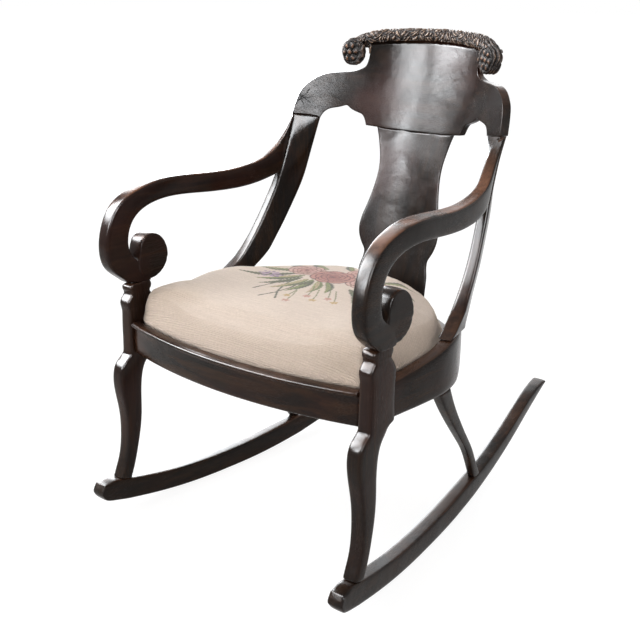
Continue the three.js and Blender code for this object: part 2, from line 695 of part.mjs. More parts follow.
// Rear rail: a curve behind the seat between the ends of the side rails.
function makeRearRail() {
  const first = sideTopShares.length - 1;
  const last = 2 * (frameLineShares.length - 1) - first;
  const rings = [];
  for (let row = first; row <= last; row += 1) rings.push(railRing(row, rearRailTopZ));
  // The ends stop short of the side rails by the seam.
  const ahead = rings[1][0].clone().sub(rings[0][0]).normalize().multiplyScalar(seam);
  rings[0].forEach((p) => p.add(ahead));
  rings[rings.length - 1].forEach((p) => p.add(vec(-ahead.x, ahead.y, 0)));
  return loft(rings);
}

// Front rail: bowed, with a rounded lip along its upper edge.
function frontFaceY(x) {
  const half = frontHalfWidth - boardThickness;
  return legFrontY + frontSetback - frontBow * (1 - (x / half) ** 2);
}

function makeFrontRail() {
  const half = frontHalfWidth - boardThickness - seam;
  const stations = 17;
  const top = railBottomZ + railHeight;
  const rings = [];
  for (let i = 0; i < stations; i += 1) {
    const x = mix(-half, half, i / (stations - 1));
    const face = frontFaceY(x);
    const profile = [
      [0, railBottomZ + edgeEase], [edgeEase, railBottomZ], [railThickness, railBottomZ],
      [railThickness, seatFrameZ - seam], [seatRebate, seatFrameZ - seam], [seatRebate, top],
      [-lipReach * 0.5, top], [-lipReach * 0.93, top - lipHeight * 0.25], [-lipReach, top - lipHeight * 0.6],
      [-lipReach * 0.7, top - lipHeight * 0.95], [0, top - lipHeight * 1.15],
    ];
    rings.push(profile.map(([depth, z]) => vec(x, face + depth, z)));
  }
  return loft(rings);
}

// Rear legs: raked back and drawn in, from the side rails to the runners.
// Rows of [share of the way down, share of the way back, depth, width]; the last two are shares of the top's.
const rearLegShares = [
  [0, 0, 1, 1], [0.12, 0.106, 0.89, 0.97], [0.25, 0.236, 0.79, 0.93], [0.385, 0.384, 0.7, 0.88],
  [0.515, 0.528, 0.6, 0.84], [0.68, 0.722, 0.53, 0.79], [0.85, 0.864, 0.5, 0.76], [1, 1, 0.6, 0.76],
];

function makeRearLeg() {
  const topZ = railBottomZ - seam;
  const footOuterX = runnerOuterX(rearLegFootY);
  const footMidZ = runnerSpan(rearLegFootY).high + seam;
  const rings = rearLegShares.map(([drop, back, deep, wide]) => {
    const depth = rearLegDepth * deep;
    const middle = mix(rearLegTopY, rearLegFootY, back);
    const outer = mix(rearLegTopX, footOuterX, drop);
    const inner = outer - rearLegWidth * wide;
    return easedRing([[outer, -1], [outer, 1], [inner, 1], [inner, -1]].map(([x, side]) => {
      const y = middle + (side * depth) / 2;
      const z = drop === 1 ? runnerSpan(y).high + seam : mix(topZ, footMidZ, drop);
      return vec(x, y, z);
    }), edgeEase);
  });
  return loft(rings);
}

// The opening that the drop-in seat fills, walked once around from the middle of the front rail.
// The right half is worked out and the left half mirrors it.
function openingHalf(inset, cornerBulge) {
  const sideX = frameLineInside(0, railThickness + inset).x + cornerBulge;
  const front = (x) => vec(x, frontFaceY(x) + seatRebate + inset, 0);
  const points = [0, 0.25, 0.5, 0.7, 0.86].map((share) => front(sideX * share));
  const corner = front(sideX);
  points.push(vec(sideX - cornerRound, front(sideX - cornerRound).y, 0));
  points.push(vec(sideX - cornerRound * 0.3, corner.y + cornerRound * 0.15, 0));
  points.push(vec(sideX, corner.y + cornerRound, 0));
  for (let row = 0; row < frameLineShares.length; row += 1) {
    const p = frameLineInside(row, railThickness + inset);
    points.push(vec(Math.max(p.x, 0), p.y, 0));
  }
  return points;
}

function openingLoop(inset, cornerBulge = 0) {
  const half = openingHalf(inset, cornerBulge);
  const left = half.slice(1, -1).reverse().map((p) => vec(-p.x, p.y, 0));
  return [...half, ...left];
}

const seatCentre = vec(0, (legFrontY + rearRailOuterY) / 2, 0);

// A loop drawn toward the seat's centre by a share of the way.
function drawnIn(loop, share) {
  return loop.map((p) => p.clone().lerp(seatCentre, share));
}

function ringAt(loop, z) {
  return loop.map((p) => vec(p.x, p.y, z));
}

// Closed body between an outer and an inner loop, such as a hollow seat frame.
function frameBody(outer, inner, lowZ, highZ) {
  const outerBody = loft([ringAt(outer, lowZ), ringAt(outer, highZ)]);
  const innerBody = loft([ringAt(inner, lowZ - cutOverrun), ringAt(inner, highZ + cutOverrun)]);
  return cut(outerBody, [innerBody]);
}

function boxBetween(low, high) {
  const box = new THREE.BoxGeometry(high.x - low.x, high.y - low.y, high.z - low.z);
  return box.translate((low.x + high.x) / 2, (low.y + high.y) / 2, (low.z + high.z) / 2);
}

const seatFrameTopZ = seatFrameZ + seatFrameThickness;
const frontSplitY = legFrontY + frontMemberDepth;

function makeSeatFrame() {
  const loop = openingLoop(seatDrop);
  const whole = frameBody(loop, openingLoop(seatDrop + seatFrameWidth), seatFrameZ, seatFrameTopZ);
  const far = sideBulge * 2;
  const lowZ = seatFrameZ - cutOverrun;
  const highZ = seatFrameTopZ + cutOverrun;
  const half = seam / 2;
  const front = boxBetween(vec(-far, -far, lowZ), vec(far, frontSplitY - half, highZ));
  const rear = boxBetween(vec(-far, rearSplitY + half, lowZ), vec(far, far, highZ));
  const right = boxBetween(vec(0, frontSplitY + half, lowZ), vec(far, rearSplitY - half, highZ));
  const pick = (box) => toGeometry(toSolid(whole).intersect(toSolid(box)));
  addPiece('seat_frame_front', pick(front), ashWood);
  addPiece('seat_frame_rear', pick(rear), ashWood);
  const side = pick(right);
  addPiece('seat_frame_right', side, ashWood);
  addPiece('seat_frame_left', mirrored(side), ashWood);
}

// Webbing straps over the seat frame: three run back from the front, two cross above them.
function makeWebbing() {
  const lowZ = seatFrameTopZ + seam;
  const frontY = frontSplitY - seatFrameWidth / 2;
  const rearY = rearSplitY + seatFrameWidth / 2;
  const pitch = webbingWidth * 1.7;
  [['left', -1], ['middle', 0], ['right', 1]].forEach(([side, place]) => {
    const x = place * pitch;
    addPiece(`webbing_${side}`, boxBetween(vec(x - webbingWidth / 2, frontY, lowZ),
      vec(x + webbingWidth / 2, rearY, lowZ + webbingThickness)), jute);
  });
  const crossZ = lowZ + webbingThickness + seam;
  [['front', 0.28], ['rear', 0.66]].forEach(([side, place]) => {
    const y = mix(frontY, rearY, place);
    const reach = sideBulge * 0.72;
    addPiece(`webbing_cross_${side}`, boxBetween(vec(-reach, y - webbingWidth / 2, crossZ),
      vec(reach, y + webbingWidth / 2, crossZ + webbingThickness)), jute);
  });
}

const burlapZ = seatFrameTopZ + 2 * webbingThickness + 3 * seam;

function makeBurlap() {
  const loop = openingLoop(seatDrop + seatFrameWidth * 0.25);
  return loft([ringAt(loop, burlapZ), ringAt(loop, burlapZ + clothThickness)]);
}

// Crowned cushion: rings that rise and draw in from the sewn edge to the middle.
// Rows of [share drawn in toward the centre, share of the rise from the edge to the crown].
const crownShares = [
  [0.012, 0], [0, 0.12], [-0.002, 0.24], [0.008, 0.39], [0.022, 0.55], [0.045, 0.69], [0.088, 0.8],
  [0.165, 0.885], [0.3, 0.945], [0.5, 0.985], [0.8, 1],
];

const coverFootZ = burlapZ - webbingThickness;

function crownRings(loop, lowZ, edgeZ, topZ) {
  const rings = [ringAt(drawnIn(loop, padDraw), lowZ)];
  crownShares.forEach(([draw, rise]) => rings.push(ringAt(drawnIn(loop, draw), mix(edgeZ, topZ, rise))));
  return rings;
}

function makeCover() {
  const outer = loft(crownRings(openingLoop(seatDrop, cushionBulge), coverFootZ, cushionEdgeZ, crownZ));
  const inside = openingLoop(seatDrop + coverThickness, cushionBulge);
  const hollow = loft(crownRings(inside, coverFootZ - cutOverrun, cushionEdgeZ - coverThickness,
    crownZ - coverThickness));
  return cut(outer, [hollow]);
}

function makePadding() {
  const inset = coverThickness + seam * 2;
  return loft(crownRings(openingLoop(seatDrop + inset, cushionBulge), burlapZ + clothThickness + seam,
    cushionEdgeZ - inset, crownZ - inset));
}

// Corner blocks glued inside the frame; the drop-in seat rests on them.
function cornerBlock(points) {
  const topZ = seatFrameZ - seam;
  const ring = (z) => points.map((p) => vec(p.x, p.y, z));
  return loft([ring(topZ - blockHeight), ring(topZ)]);
}

function screwProfile(length, grow) {
  const head = screwHeadRadius + grow;
  const shank = screwShankRadius + grow;
  const depth = screwHeadDepth + grow;
  const end = length + grow;
  const points = [[0, 0], [head, 0], [shank, depth], [shank, end - shank * 2], [0, end]];
  return points.map(([r, z]) => new THREE.Vector2(r, z));
}

// A countersunk wood screw, or with some growth the hole it sits in.
function screwAt(place, direction, length, grow) {
  const body = new THREE.LatheGeometry(screwProfile(length, grow), 10);
  const turn = new THREE.Quaternion().setFromUnitVectors(vec(0, 1, 0), direction.clone().normalize());
  const start = place.clone().addScaledVector(direction.clone().normalize(), grow > 0 ? 0 : seam);
  return body.applyMatrix4(new THREE.Matrix4().compose(start, turn, vec(1, 1, 1)));
}

function holeAt(place, direction, length) {
  const sunk = screwAt(place, direction, length, seam * 1.5);
  const mouthRadius = screwHeadRadius + seam * 1.5;
  const mouth = new THREE.CylinderGeometry(mouthRadius, mouthRadius, cutOverrun, 10);
  mouth.translate(0, -cutOverrun / 2 + seam / 3, 0);
  const turn = new THREE.Quaternion().setFromUnitVectors(vec(0, 1, 0), direction.clone().normalize());
  mouth.applyMatrix4(new THREE.Matrix4().compose(place, turn, vec(1, 1, 1)));
  return [sunk, mouth];
}

// Screws that come up through a runner into the foot of each leg.
function runnerScrews() {
  const frontY = legEdgeY((frontLegShares[0][1] + frontLegShares[0][2]) / 2);
  return [['front', frontY], ['rear', rearLegFootY]].map(([name, y]) => ({
    name,
    place: vec(runnerOuterX(y) - runnerWidth / 2, y, runnerUnderZ(y)),
    direction: vec(0, 0, 1),
    length: runnerScrewLength,
  }));
}

function blockPlans() {
  const inner = frontHalfWidth - boardThickness - 2 * seam;
  const behindRail = (x) => vec(x, frontFaceY(x) + railThickness + seam, 0);
  const besideRail = (row) => frameLineInside(row, railThickness + seam);
  const postRear = legEdgeY(1) - seam;
  const side = besideRail(0).x;
  const front = [behindRail(inner - blockLeg), behindRail(inner), vec(inner, postRear, 0),
    vec(side, postRear, 0), besideRail(1), besideRail(2)];
  const rearCorner = vec(besideRail(12).x - blockLeg * 0.4, besideRail(10).y, 0);
  const rear = [besideRail(6), besideRail(8), besideRail(10), besideRail(12), rearCorner];
  return { front, rear };
}

function makeJoinery() {
  const screws = runnerScrews();
  const holes = screws.flatMap((s) => holeAt(s.place, s.direction, s.length));
  addPair('runner', cut(makeRunner(), holes), mahogany);
  addPair('front_leg', cut(makeFrontLeg(), holes), mahogany);
  addPair('rear_leg', cut(makeRearLeg(), holes), mahogany);
  screws.forEach((s) => addPair(`${s.name}_runner_screw`, screwAt(s.place, s.direction, s.length, 0), steel));
}

function makeChair() {
  makeJoinery();
  addPair('arm', cut(makeArm(), [makeStile(seam)]), mahogany);
  addPair('stile', makeStile(0), mahogany);
  addPair('side_rail', makeSideRail(), mahogany);
  addPiece('front_rail', makeFrontRail(), mahogany);
  addPiece('rear_rail', makeRearRail(), mahogany);
  addPiece('crest_panel', cut(makeCrest(), [tongue(seam)]), veneer);
  addPiece('crest_roll', makeRoll(), carving);
  addPiece('back_splat', cut(makeSplat(), [tongue(seam)]), veneer);
  addPiece('splat_tongue', tongue(0), mahogany);
  addPiece('splat_shoe', makeShoe(), mahogany);
  const plans = blockPlans();
  addPair('front_corner_block', cornerBlock(plans.front), ashWood);
  addPair('rear_corner_block', cornerBlock(plans.rear), ashWood);
  makeSeatFrame();
  makeWebbing();
  addPiece('seat_burlap', makeBurlap(), jute);
  addPiece('seat_padding', makePadding(), hair);
  addPiece('seat_cover', makeCover(), needlework);
}

makeChair();

export default chair;
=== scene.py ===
import math
import random

import bmesh
import bpy
import numpy as np
from mathutils import Matrix, Vector, bvhtree, noise


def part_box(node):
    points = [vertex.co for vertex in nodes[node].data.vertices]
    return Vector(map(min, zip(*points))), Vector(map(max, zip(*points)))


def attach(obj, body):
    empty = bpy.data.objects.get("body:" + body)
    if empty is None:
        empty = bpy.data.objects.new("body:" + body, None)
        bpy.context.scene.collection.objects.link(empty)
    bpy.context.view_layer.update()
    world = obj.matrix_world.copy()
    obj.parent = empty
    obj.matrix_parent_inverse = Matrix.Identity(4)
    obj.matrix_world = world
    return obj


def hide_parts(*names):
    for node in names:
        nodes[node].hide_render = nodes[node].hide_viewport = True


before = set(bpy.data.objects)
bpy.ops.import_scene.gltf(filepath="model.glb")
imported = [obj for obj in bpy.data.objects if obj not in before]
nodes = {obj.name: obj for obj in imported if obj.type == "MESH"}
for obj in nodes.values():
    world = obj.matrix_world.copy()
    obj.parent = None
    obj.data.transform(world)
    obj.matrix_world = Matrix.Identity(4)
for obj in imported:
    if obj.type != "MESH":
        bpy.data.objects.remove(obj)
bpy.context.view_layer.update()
print("frame loaded")


# camera

def lookFrom(view):
    turn, rise, roll = (math.radians(view[k]) for k in ("azimuth", "elevation", "roll"))
    back = Vector((math.sin(turn) * math.cos(rise), -math.cos(turn) * math.cos(rise), math.sin(rise)))
    right = Vector((math.cos(turn), math.sin(turn), 0))
    up = back.cross(right)
    across = right * math.cos(roll) + up * math.sin(roll)
    upright = up * math.cos(roll) - right * math.sin(roll)
    camera = bpy.data.objects.new("camera", bpy.data.cameras.new("camera"))
    camera.data.lens = view["lens"]
    camera.matrix_world = Matrix.Translation(view["place"]) @ Matrix((across, upright, back)).transposed().to_4x4()
    bpy.context.scene.collection.objects.link(camera)
    bpy.context.scene.camera = camera


lookFrom({"place": (1.1149, -1.5351, 0.9960), "azimuth": 38.374, "elevation": 18.766, "roll": 0.491, "lens": 56.475})


# shader building

class Wire:  # a socket that can be written in sums
    def __init__(self, shader, socket):
        self.shader = shader
        self.socket = socket

    def join(self, operation, first, second):
        return self.shader.node("ShaderNodeMath", {"operation": operation}, {0: first, 1: second})

    def __add__(self, other):
        return self.join("ADD", self, other)

    def __radd__(self, other):
        return self.join("ADD", other, self)

    def __sub__(self, other):
        return self.join("SUBTRACT", self, other)

    def __rsub__(self, other):
        return self.join("SUBTRACT", other, self)

    def __mul__(self, other):
        return self.join("MULTIPLY", self, other)

    def __rmul__(self, other):
        return self.join("MULTIPLY", other, self)

    def __pow__(self, other):
        return self.join("POWER", self, other)


class Shader:
    def __init__(self, name):
        self.material = bpy.data.materials.new(name)
        self.material.use_nodes = True
        self.tree = self.material.node_tree
        self.tree.nodes.clear()

    def node(self, kind, settings, values, output=0):
        made = self.tree.nodes.new(kind)
        for key, value in settings.items():
            if key == "stops":
                self.setStops(made.color_ramp, value)
            else:
                setattr(made, key, value)
        for key, value in values.items():
            if isinstance(value, Wire):
                self.tree.links.new(value.socket, made.inputs[key])
            else:
                made.inputs[key].default_value = value
        return Wire(self, made.outputs[output])

    def setStops(self, ramp, stops):
        while len(ramp.elements) < len(stops):
            ramp.elements.new(0.5)
        for element, (place, colour) in zip(ramp.elements, stops):
            element.position = place
            element.color = (*colour, 1)

    def place(self, scale=(1, 1, 1)):
        where = self.node("ShaderNodeTexCoord", {}, {}, "Object")
        return self.node("ShaderNodeMapping", {}, {"Vector": where, "Scale": scale})

    def noise(self, where, scale, detail=4, rough=0.55, bend=0):
        values = {"Vector": where, "Scale": scale, "Detail": detail, "Roughness": rough, "Distortion": bend}
        return self.node("ShaderNodeTexNoise", {}, values)

    def spread(self, value, low, high, start=0, end=1):
        ends = {"Value": value, "From Min": low, "From Max": high, "To Min": start, "To Max": end}
        return self.node("ShaderNodeMapRange", {"clamp": True, "interpolation_type": "SMOOTHSTEP"}, ends)

    def mix(self, share, first, second):
        first = first if isinstance(first, Wire) else (*first, 1)
        second = second if isinstance(second, Wire) else (*second, 1)
        return self.node("ShaderNodeMix", {"data_type": "RGBA"}, {0: share, 6: first, 7: second}, 2)

    def attribute(self, name, output="Fac"):
        return self.node("ShaderNodeAttribute", {"attribute_name": name}, {}, output)

    def sine(self, value):
        return self.node("ShaderNodeMath", {"operation": "SINE"}, {0: value})

    def split(self, vector):
        parts = self.node("ShaderNodeSeparateXYZ", {}, {"Vector": vector}).socket.node
        return [Wire(self, output) for output in parts.outputs]

    def upward(self):  # 1 where the surface faces up
        return self.split(self.node("ShaderNodeNewGeometry", {}, {}, "Normal"))[2]

    def bump(self, height, depth, strength=1):
        return self.node("ShaderNodeBump", {}, {"Height": height, "Distance": depth, "Strength": strength})

    def finish(self, values):
        self.putOut(self.node("ShaderNodeBsdfPrincipled", {}, values))
        return self.material

    def putOut(self, surface):
        out = self.tree.nodes.new("ShaderNodeOutputMaterial")
        self.tree.links.new(surface.socket, out.inputs["Surface"])


# old polished mahogany

polish = {
    "dark": (0.0075, 0.0052, 0.0042),
    "brown": (0.031, 0.0148, 0.0072),
    "red": (0.038, 0.0108, 0.0075),
    "worn": (0.150, 0.066, 0.036),
    "bare": (0.36, 0.25, 0.17),
    "crack": (0.002, 0.0015, 0.0015),
    "roughness": 0.19,
    "mirror": 0.11,         # specular level
    "waveDepth": 0.0007,
    "waveStrength": 0.35,
}
grainTurns = {"x": (1.2, 26, 26), "y": (26, 1.2, 26), "z": (26, 26, 1.2)}  # stretched along the grain

# old cracks in the finish by the left shoulder: two ends across and up, and a width, in metres

shoulderCracks = [
    ((-0.2440, 0.7460), (-0.2215, 0.7790), 0.0016),
    ((-0.2370, 0.7745), (-0.2265, 0.7500), 0.0013),
    ((-0.2375, 0.7600), (-0.2140, 0.7655), 0.0013),
    ((-0.2335, 0.7690), (-0.2165, 0.7535), 0.0013),
    ((-0.2480, 0.7560), (-0.2330, 0.7600), 0.0013),
]


def crack(s, across, up, start, end, width):
    alongX, alongZ = end[0] - start[0], end[1] - start[1]
    square = alongX ** 2 + alongZ ** 2
    reached = (across - start[0]) * (alongX / square) + (up - start[1]) * (alongZ / square)
    held = s.node("ShaderNodeClamp", {}, {"Value": reached})
    dx, dz = across - start[0] - held * alongX, up - start[1] - held * alongZ
    return s.spread((dx * dx + dz * dz) ** 0.5, width, width * 0.35)


def polishedWood(name, grain, brown=0.5, red=0.3, wear=1.0, gloss=0.0, cracks=()):
    s = Shader(name)
    along = s.place(grainTurns[grain])
    where = s.place()
    figure = s.noise(along, 1.6, 5, 0.6, 0.8)
    streaks = s.noise(along, 9, 6, 0.65)
    pores = s.noise(along, 34, 3, 0.7)
    clouds = s.noise(where, 5.5, 3, 0.5)
    patches = s.noise(where, 13, 4, 0.6)
    browner = s.spread(figure, 0.4, 0.68) * brown + s.spread(streaks, 0.45, 0.75) * (brown * 0.5)
    colour = s.mix(browner, polish["dark"], polish["brown"])
    colour = s.mix(s.spread(clouds, 0.46, 0.7) * red, colour, polish["red"])
    rubbed = s.spread(s.attribute("edge") + (patches - 0.5) * 0.9, 0.42, 0.95)
    handled = s.spread(s.upward(), 0.45, 0.95) * s.attribute("handled") * s.spread(patches, 0.36, 0.62)
    worn = s.node("ShaderNodeMath", {"operation": "MAXIMUM", "use_clamp": True}, {0: rubbed * wear * 0.8, 1: handled})
    colour = s.mix(worn * s.spread(streaks, 0.2, 0.6, 0.55, 1), colour, polish["worn"])
    nicks = s.spread(s.attribute("edge"), 0.35, 0.7) * s.spread(s.noise(where, 85, 2, 0.5), 0.66, 0.74)
    colour = s.mix(nicks * (0.8 * wear), colour, polish["bare"])
    if cracks:
        bent = s.noise(where, 130, 2, 0.5) * 0.006 - 0.003
        x, _, z = s.split(where)
        marks = sum(crack(s, x + bent, z - bent, *one) for one in cracks)
        colour = s.mix(s.node("ShaderNodeClamp", {}, {"Value": marks}), colour, polish["crack"])
        worn = worn + marks * 4          # dull in the cracks
    shine = s.spread(s.noise(where, 7, 4, 0.6), 0.3, 0.7, -0.06, 0.1)
    rough = shine + s.spread(pores, 0.35, 0.7, 0.0, 0.08) + (polish["roughness"] - gloss) + worn * 0.1
    waves = s.noise(where, 14, 2, 0.5) * 5 + s.noise(where, 40, 3, 0.6) * 1.4
    relief = s.bump(pores * 0.3 + waves, polish["waveDepth"], polish["waveStrength"])
    return s.finish({"Base Color": colour, "Roughness": rough, "Normal": relief,
                     "Specular IOR Level": polish["mirror"]})


# shapes

def linkMesh(name, mesh):
    made = bpy.data.objects.new(name, mesh)
    bpy.context.scene.collection.objects.link(made)
    return made


def fromBmesh(name, bm):
    mesh = bpy.data.meshes.new(name)
    bm.to_mesh(mesh)
    bm.free()
    return linkMesh(name, mesh)


def mergedCopy(*sources):
    bm = bmesh.new()
    for source in sources:
        bm.from_mesh(nodes[source].data)
    bmesh.ops.remove_doubles(bm, verts=bm.verts, dist=0.00002)
    return bm


def evaluated(made):
    bpy.context.view_layer.update()
    mesh = bpy.data.meshes.new_from_object(made.evaluated_get(bpy.context.evaluated_depsgraph_get()))
    old = made.data
    made.modifiers.clear()
    made.data = mesh
    bpy.data.meshes.remove(old)
    return made


def shadeSmooth(made):
    made.data.polygons.foreach_set("use_smooth", [True] * len(made.data.polygons))


def subdivided(made, levels):
    finer = made.modifiers.new("finer", "SUBSURF")
    finer.levels = finer.render_levels = levels
    return evaluated(made)


def thickened(made, thickness):
    thick = made.modifiers.new("thick", "SOLIDIFY")
    thick.thickness = thickness
    thick.offset = 0
    return evaluated(made)


# points of a mesh as arrays, in metres

def pointsOf(mesh):
    flat = np.empty(len(mesh.vertices) * 3)
    mesh.vertices.foreach_get("co", flat)
    return flat.reshape(-1, 3)


def normalsOf(mesh):
    flat = np.empty(len(mesh.vertices) * 3, dtype=np.float32)
    mesh.vertices.foreach_get("normal", flat)
    return flat.reshape(-1, 3).astype(float)


def setPoints(mesh, points):
    mesh.vertices.foreach_set("co", points.ravel())
    mesh.update()


def keepValue(mesh, name, values):
    mesh.attributes.new(name, "FLOAT", "POINT").data.foreach_set("value", values)


def keepColour(mesh, name, colours):
    full = np.ones((len(colours), 4))
    full[:, :3] = colours
    mesh.attributes.new(name, "FLOAT_COLOR", "POINT").data.foreach_set("color", full.ravel())


def smoothStep(values, low, high):
    share = np.clip((values - low) / (high - low), 0, 1)
    return share * share * (3 - 2 * share)


# how far each point stands out as an edge, for wear: 0 flat, 1 sharp

def markEdges(mesh):
    bm = bmesh.new()
    bm.from_mesh(mesh)
    bm.normal_update()
    bend = []
    for v in bm.verts:
        around = [e.other_vert(v) for e in v.link_edges]
        total = sum((v.co - o.co).normalized().dot(v.normal) for o in around) / max(len(around), 1)
        bend.append(min(max(total * 2.4, 0), 1))
    for _ in range(2):
        bend = [0.5 * bend[v.index] + 0.5 * sum(bend[e.other_vert(v).index] for e in v.link_edges)
                / max(len(v.link_edges), 1) for v in bm.verts]
    bm.free()
    keepValue(mesh, "edge", bend)


def nearby(nodeName):  # the wood that a piece may be glued to
    trees = []
    for other in nodes.keys():
        if other != nodeName and not other.startswith("seat"):
            bm = bmesh.new()
            bm.from_mesh(nodes[other].data)
            trees.append(bvhtree.BVHTree.FromBMesh(bm))
            bm.free()
    return trees


edgeWork = {"ease": 0.0013, "sharperThan": 62, "glueReach": 0.0009, "levels": 2}


# a piece with its sharp edges eased, but crisp where it's glued to another

def rounded(nodeName, ease=edgeWork["ease"], levels=edgeWork["levels"]):
    bm = mergedCopy(nodeName)
    bmesh.ops.join_triangles(bm, faces=bm.faces, angle_face_threshold=math.radians(30),
                             angle_shape_threshold=math.radians(120))
    crease = bm.edges.layers.float.new("crease_edge")
    limit = math.radians(edgeWork["sharperThan"])
    sharp = [e for e in bm.edges if len(e.link_faces) == 2 and e.calc_face_angle(0) > limit]
    others = nearby(nodeName)
    glued = set()
    for e in sharp:
        middle = (e.verts[0].co + e.verts[1].co) / 2
        if any(tree.find_nearest(middle, edgeWork["glueReach"])[0] for tree in others):
            glued.add(e)
            e[crease] = 1.0
    sharp = [e for e in sharp if e not in glued]
    bmesh.ops.bevel(bm, geom=sharp, offset=ease, offset_type="OFFSET", segments=1, profile=0.5, affect="EDGES",
                    clamp_overlap=True)
    made = subdivided(fromBmesh(nodeName + "_finished", bm), levels)
    shadeSmooth(made)
    markEdges(made.data)
    return made


def dress(made, material, body, *replaced, slot=None):
    made.data.materials.clear()
    made.data.materials.append(material)
    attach(made, body)
    if replaced:
        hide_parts(*replaced)


# name, grain, then how brown, red, worn and glossy

woods = {
    "runner": polishedWood("runnerWood", "y", 0.45, 0.1, 0.9, 0.0),
    "leg": polishedWood("legWood", "z", 0.5, 0.25, 1.0, 0.02),
    "arm": polishedWood("armWood", "y", 0.5, 0.35, 1.0, 0.04),
    "stile": polishedWood("stileWood", "z", 0.6, 0.35, 1.0, 0.04),
    "rail": polishedWood("railWood", "x", 0.75, 0.3, 0.7, 0.0),
    "sideRail": polishedWood("sideRailWood", "y", 0.55, 0.2, 0.7, 0.0),
    "panel": polishedWood("panelVeneer", "x", 0.35, 0.45, 0.5, 0.02, shoulderCracks),
    "splat": polishedWood("splatVeneer", "z", 0.35, 0.4, 0.5, 0.02),
}
woodOf = {"front_rail": "rail", "rear_rail": "rail", "crest_panel": "panel", "back_splat": "splat",
          "splat_shoe": "rail"}
for side in ("right_", "left_"):
    woodOf.update({side + "runner": "runner", side + "front_leg": "leg", side + "rear_leg": "leg",
                   side + "arm": "arm", side + "stile": "stile", side + "side_rail": "sideRail"})
for nodeName, wood in woodOf.items():
    piece = rounded(nodeName)
    handled = 1.0 if wood == "arm" else 0.25
    keepValue(piece.data, "handled", [handled] * len(piece.data.vertices))
    slotName = "crotch_veneer" if wood in ("panel", "splat") else "mahogany"
    dress(piece, woods[wood], "chair", nodeName, slot=slotName)
print("woodwork finished", len(woodOf))


def remeshed(name, sources, voxel, smoothing):
    made = fromBmesh(name, mergedCopy(*sources))
    grid = made.modifiers.new("grid", "REMESH")
    grid.mode = "VOXEL"
    grid.voxel_size = voxel
    evaluated(made)
    even = made.modifiers.new("even", "SMOOTH")
    even.factor = 0.5
    even.iterations = smoothing
    evaluated(made)
    shadeSmooth(made)
    return made


# carved roll along the top, with leaves that run outward into a volute at each end

roll = {
    "voxel": 0.00085,
    "bow": 0.110 / 0.242 ** 2,          # bow of the back for each metre squared off the middle
    "faceFrom": (0.114, 0.421),          # depth of the back's face and the height that it leans from
    "lean": 0.252,
    "middleHeight": 0.892,
    "middleDepth": 0.003,
    "volute": (0.157, 0.855),
    "voluteSize": (0.024, 0.027),
    "turnsDown": (0.124, 0.155),         # where the leaves bend round towards the volute
    "thickness": 0.0150,
    "leafLength": 0.0165,
    "leafWidth": 0.0125,
    "leafDepth": 0.0024,
    "veinPitch": 0.0062,
    "veinDepth": 0.0013,
    "flutePitch": 0.0074,
    "fluteDepth": 0.0015,
    "curlPitch": 0.034,
    "curlDepth": 0.0014,
    "petals": 6,
    "petalDepth": 0.0034,
    "bossSize": 0.24,
    "bossDepth": 0.0036,
    "rimDepth": 0.0018,
    "rimNotches": 13,
    "notchDepth": 0.0012,
    "faceSink": 0.0012,
    "sink": 0.0016,
    "toolMarks": 0.00035,
}


def hashed(first, second, seed):  # an even scatter from 0 to 1
    return np.mod(np.sin(first * 127.1 + second * 311.7 + seed * 74.7) * 43758.5453, 1.0)


# leaves of uneven size side by side, each with curved veins of its own slant

def foliage(along, girth, r):
    length, width = r["leafLength"], r["leafWidth"]
    column, line = np.floor(along / length), np.floor(girth / width)
    nearest, second = np.full((2, len(along)), 9.0)
    dx, dy, slant = np.zeros((3, len(along)))
    for i in (-1, 0, 1):
        for j in (-1, 0, 1):
            a, b = column + i, line + j
            toX = along - (a + 0.5 + (hashed(a, b, 1) - 0.5) * 0.7) * length
            toY = girth - (b + 0.5 + (hashed(a, b, 2) - 0.5) * 0.7) * width
            far = np.hypot(toX / length, toY / width)
            closer = far < nearest
            second = np.where(closer, nearest, np.minimum(second, far))
            nearest = np.where(closer, far, nearest)
            flip = np.where(hashed(a, b, 3) < 0.35, -1, 1) * np.sign(along)
            dx, dy = np.where(closer, toX, dx), np.where(closer, toY, dy)
            slant = np.where(closer, flip * (0.55 + 0.7 * hashed(a, b, 4)), slant)
    onLeaf = dx * np.cos(slant) + dy * np.sin(slant)
    beside = -dx * np.sin(slant) + dy * np.cos(slant) + 26 * onLeaf ** 2
    border = smoothStep(second - nearest, 0.0, 0.22)
    wave = np.cos(2 * np.pi * beside / r["veinPitch"])
    vein = np.sign(wave) * np.abs(wave) ** 0.7
    dome = np.clip(1 - nearest ** 2, 0, 1)
    return border * dome * r["leafDepth"] + vein * border * r["veinDepth"]


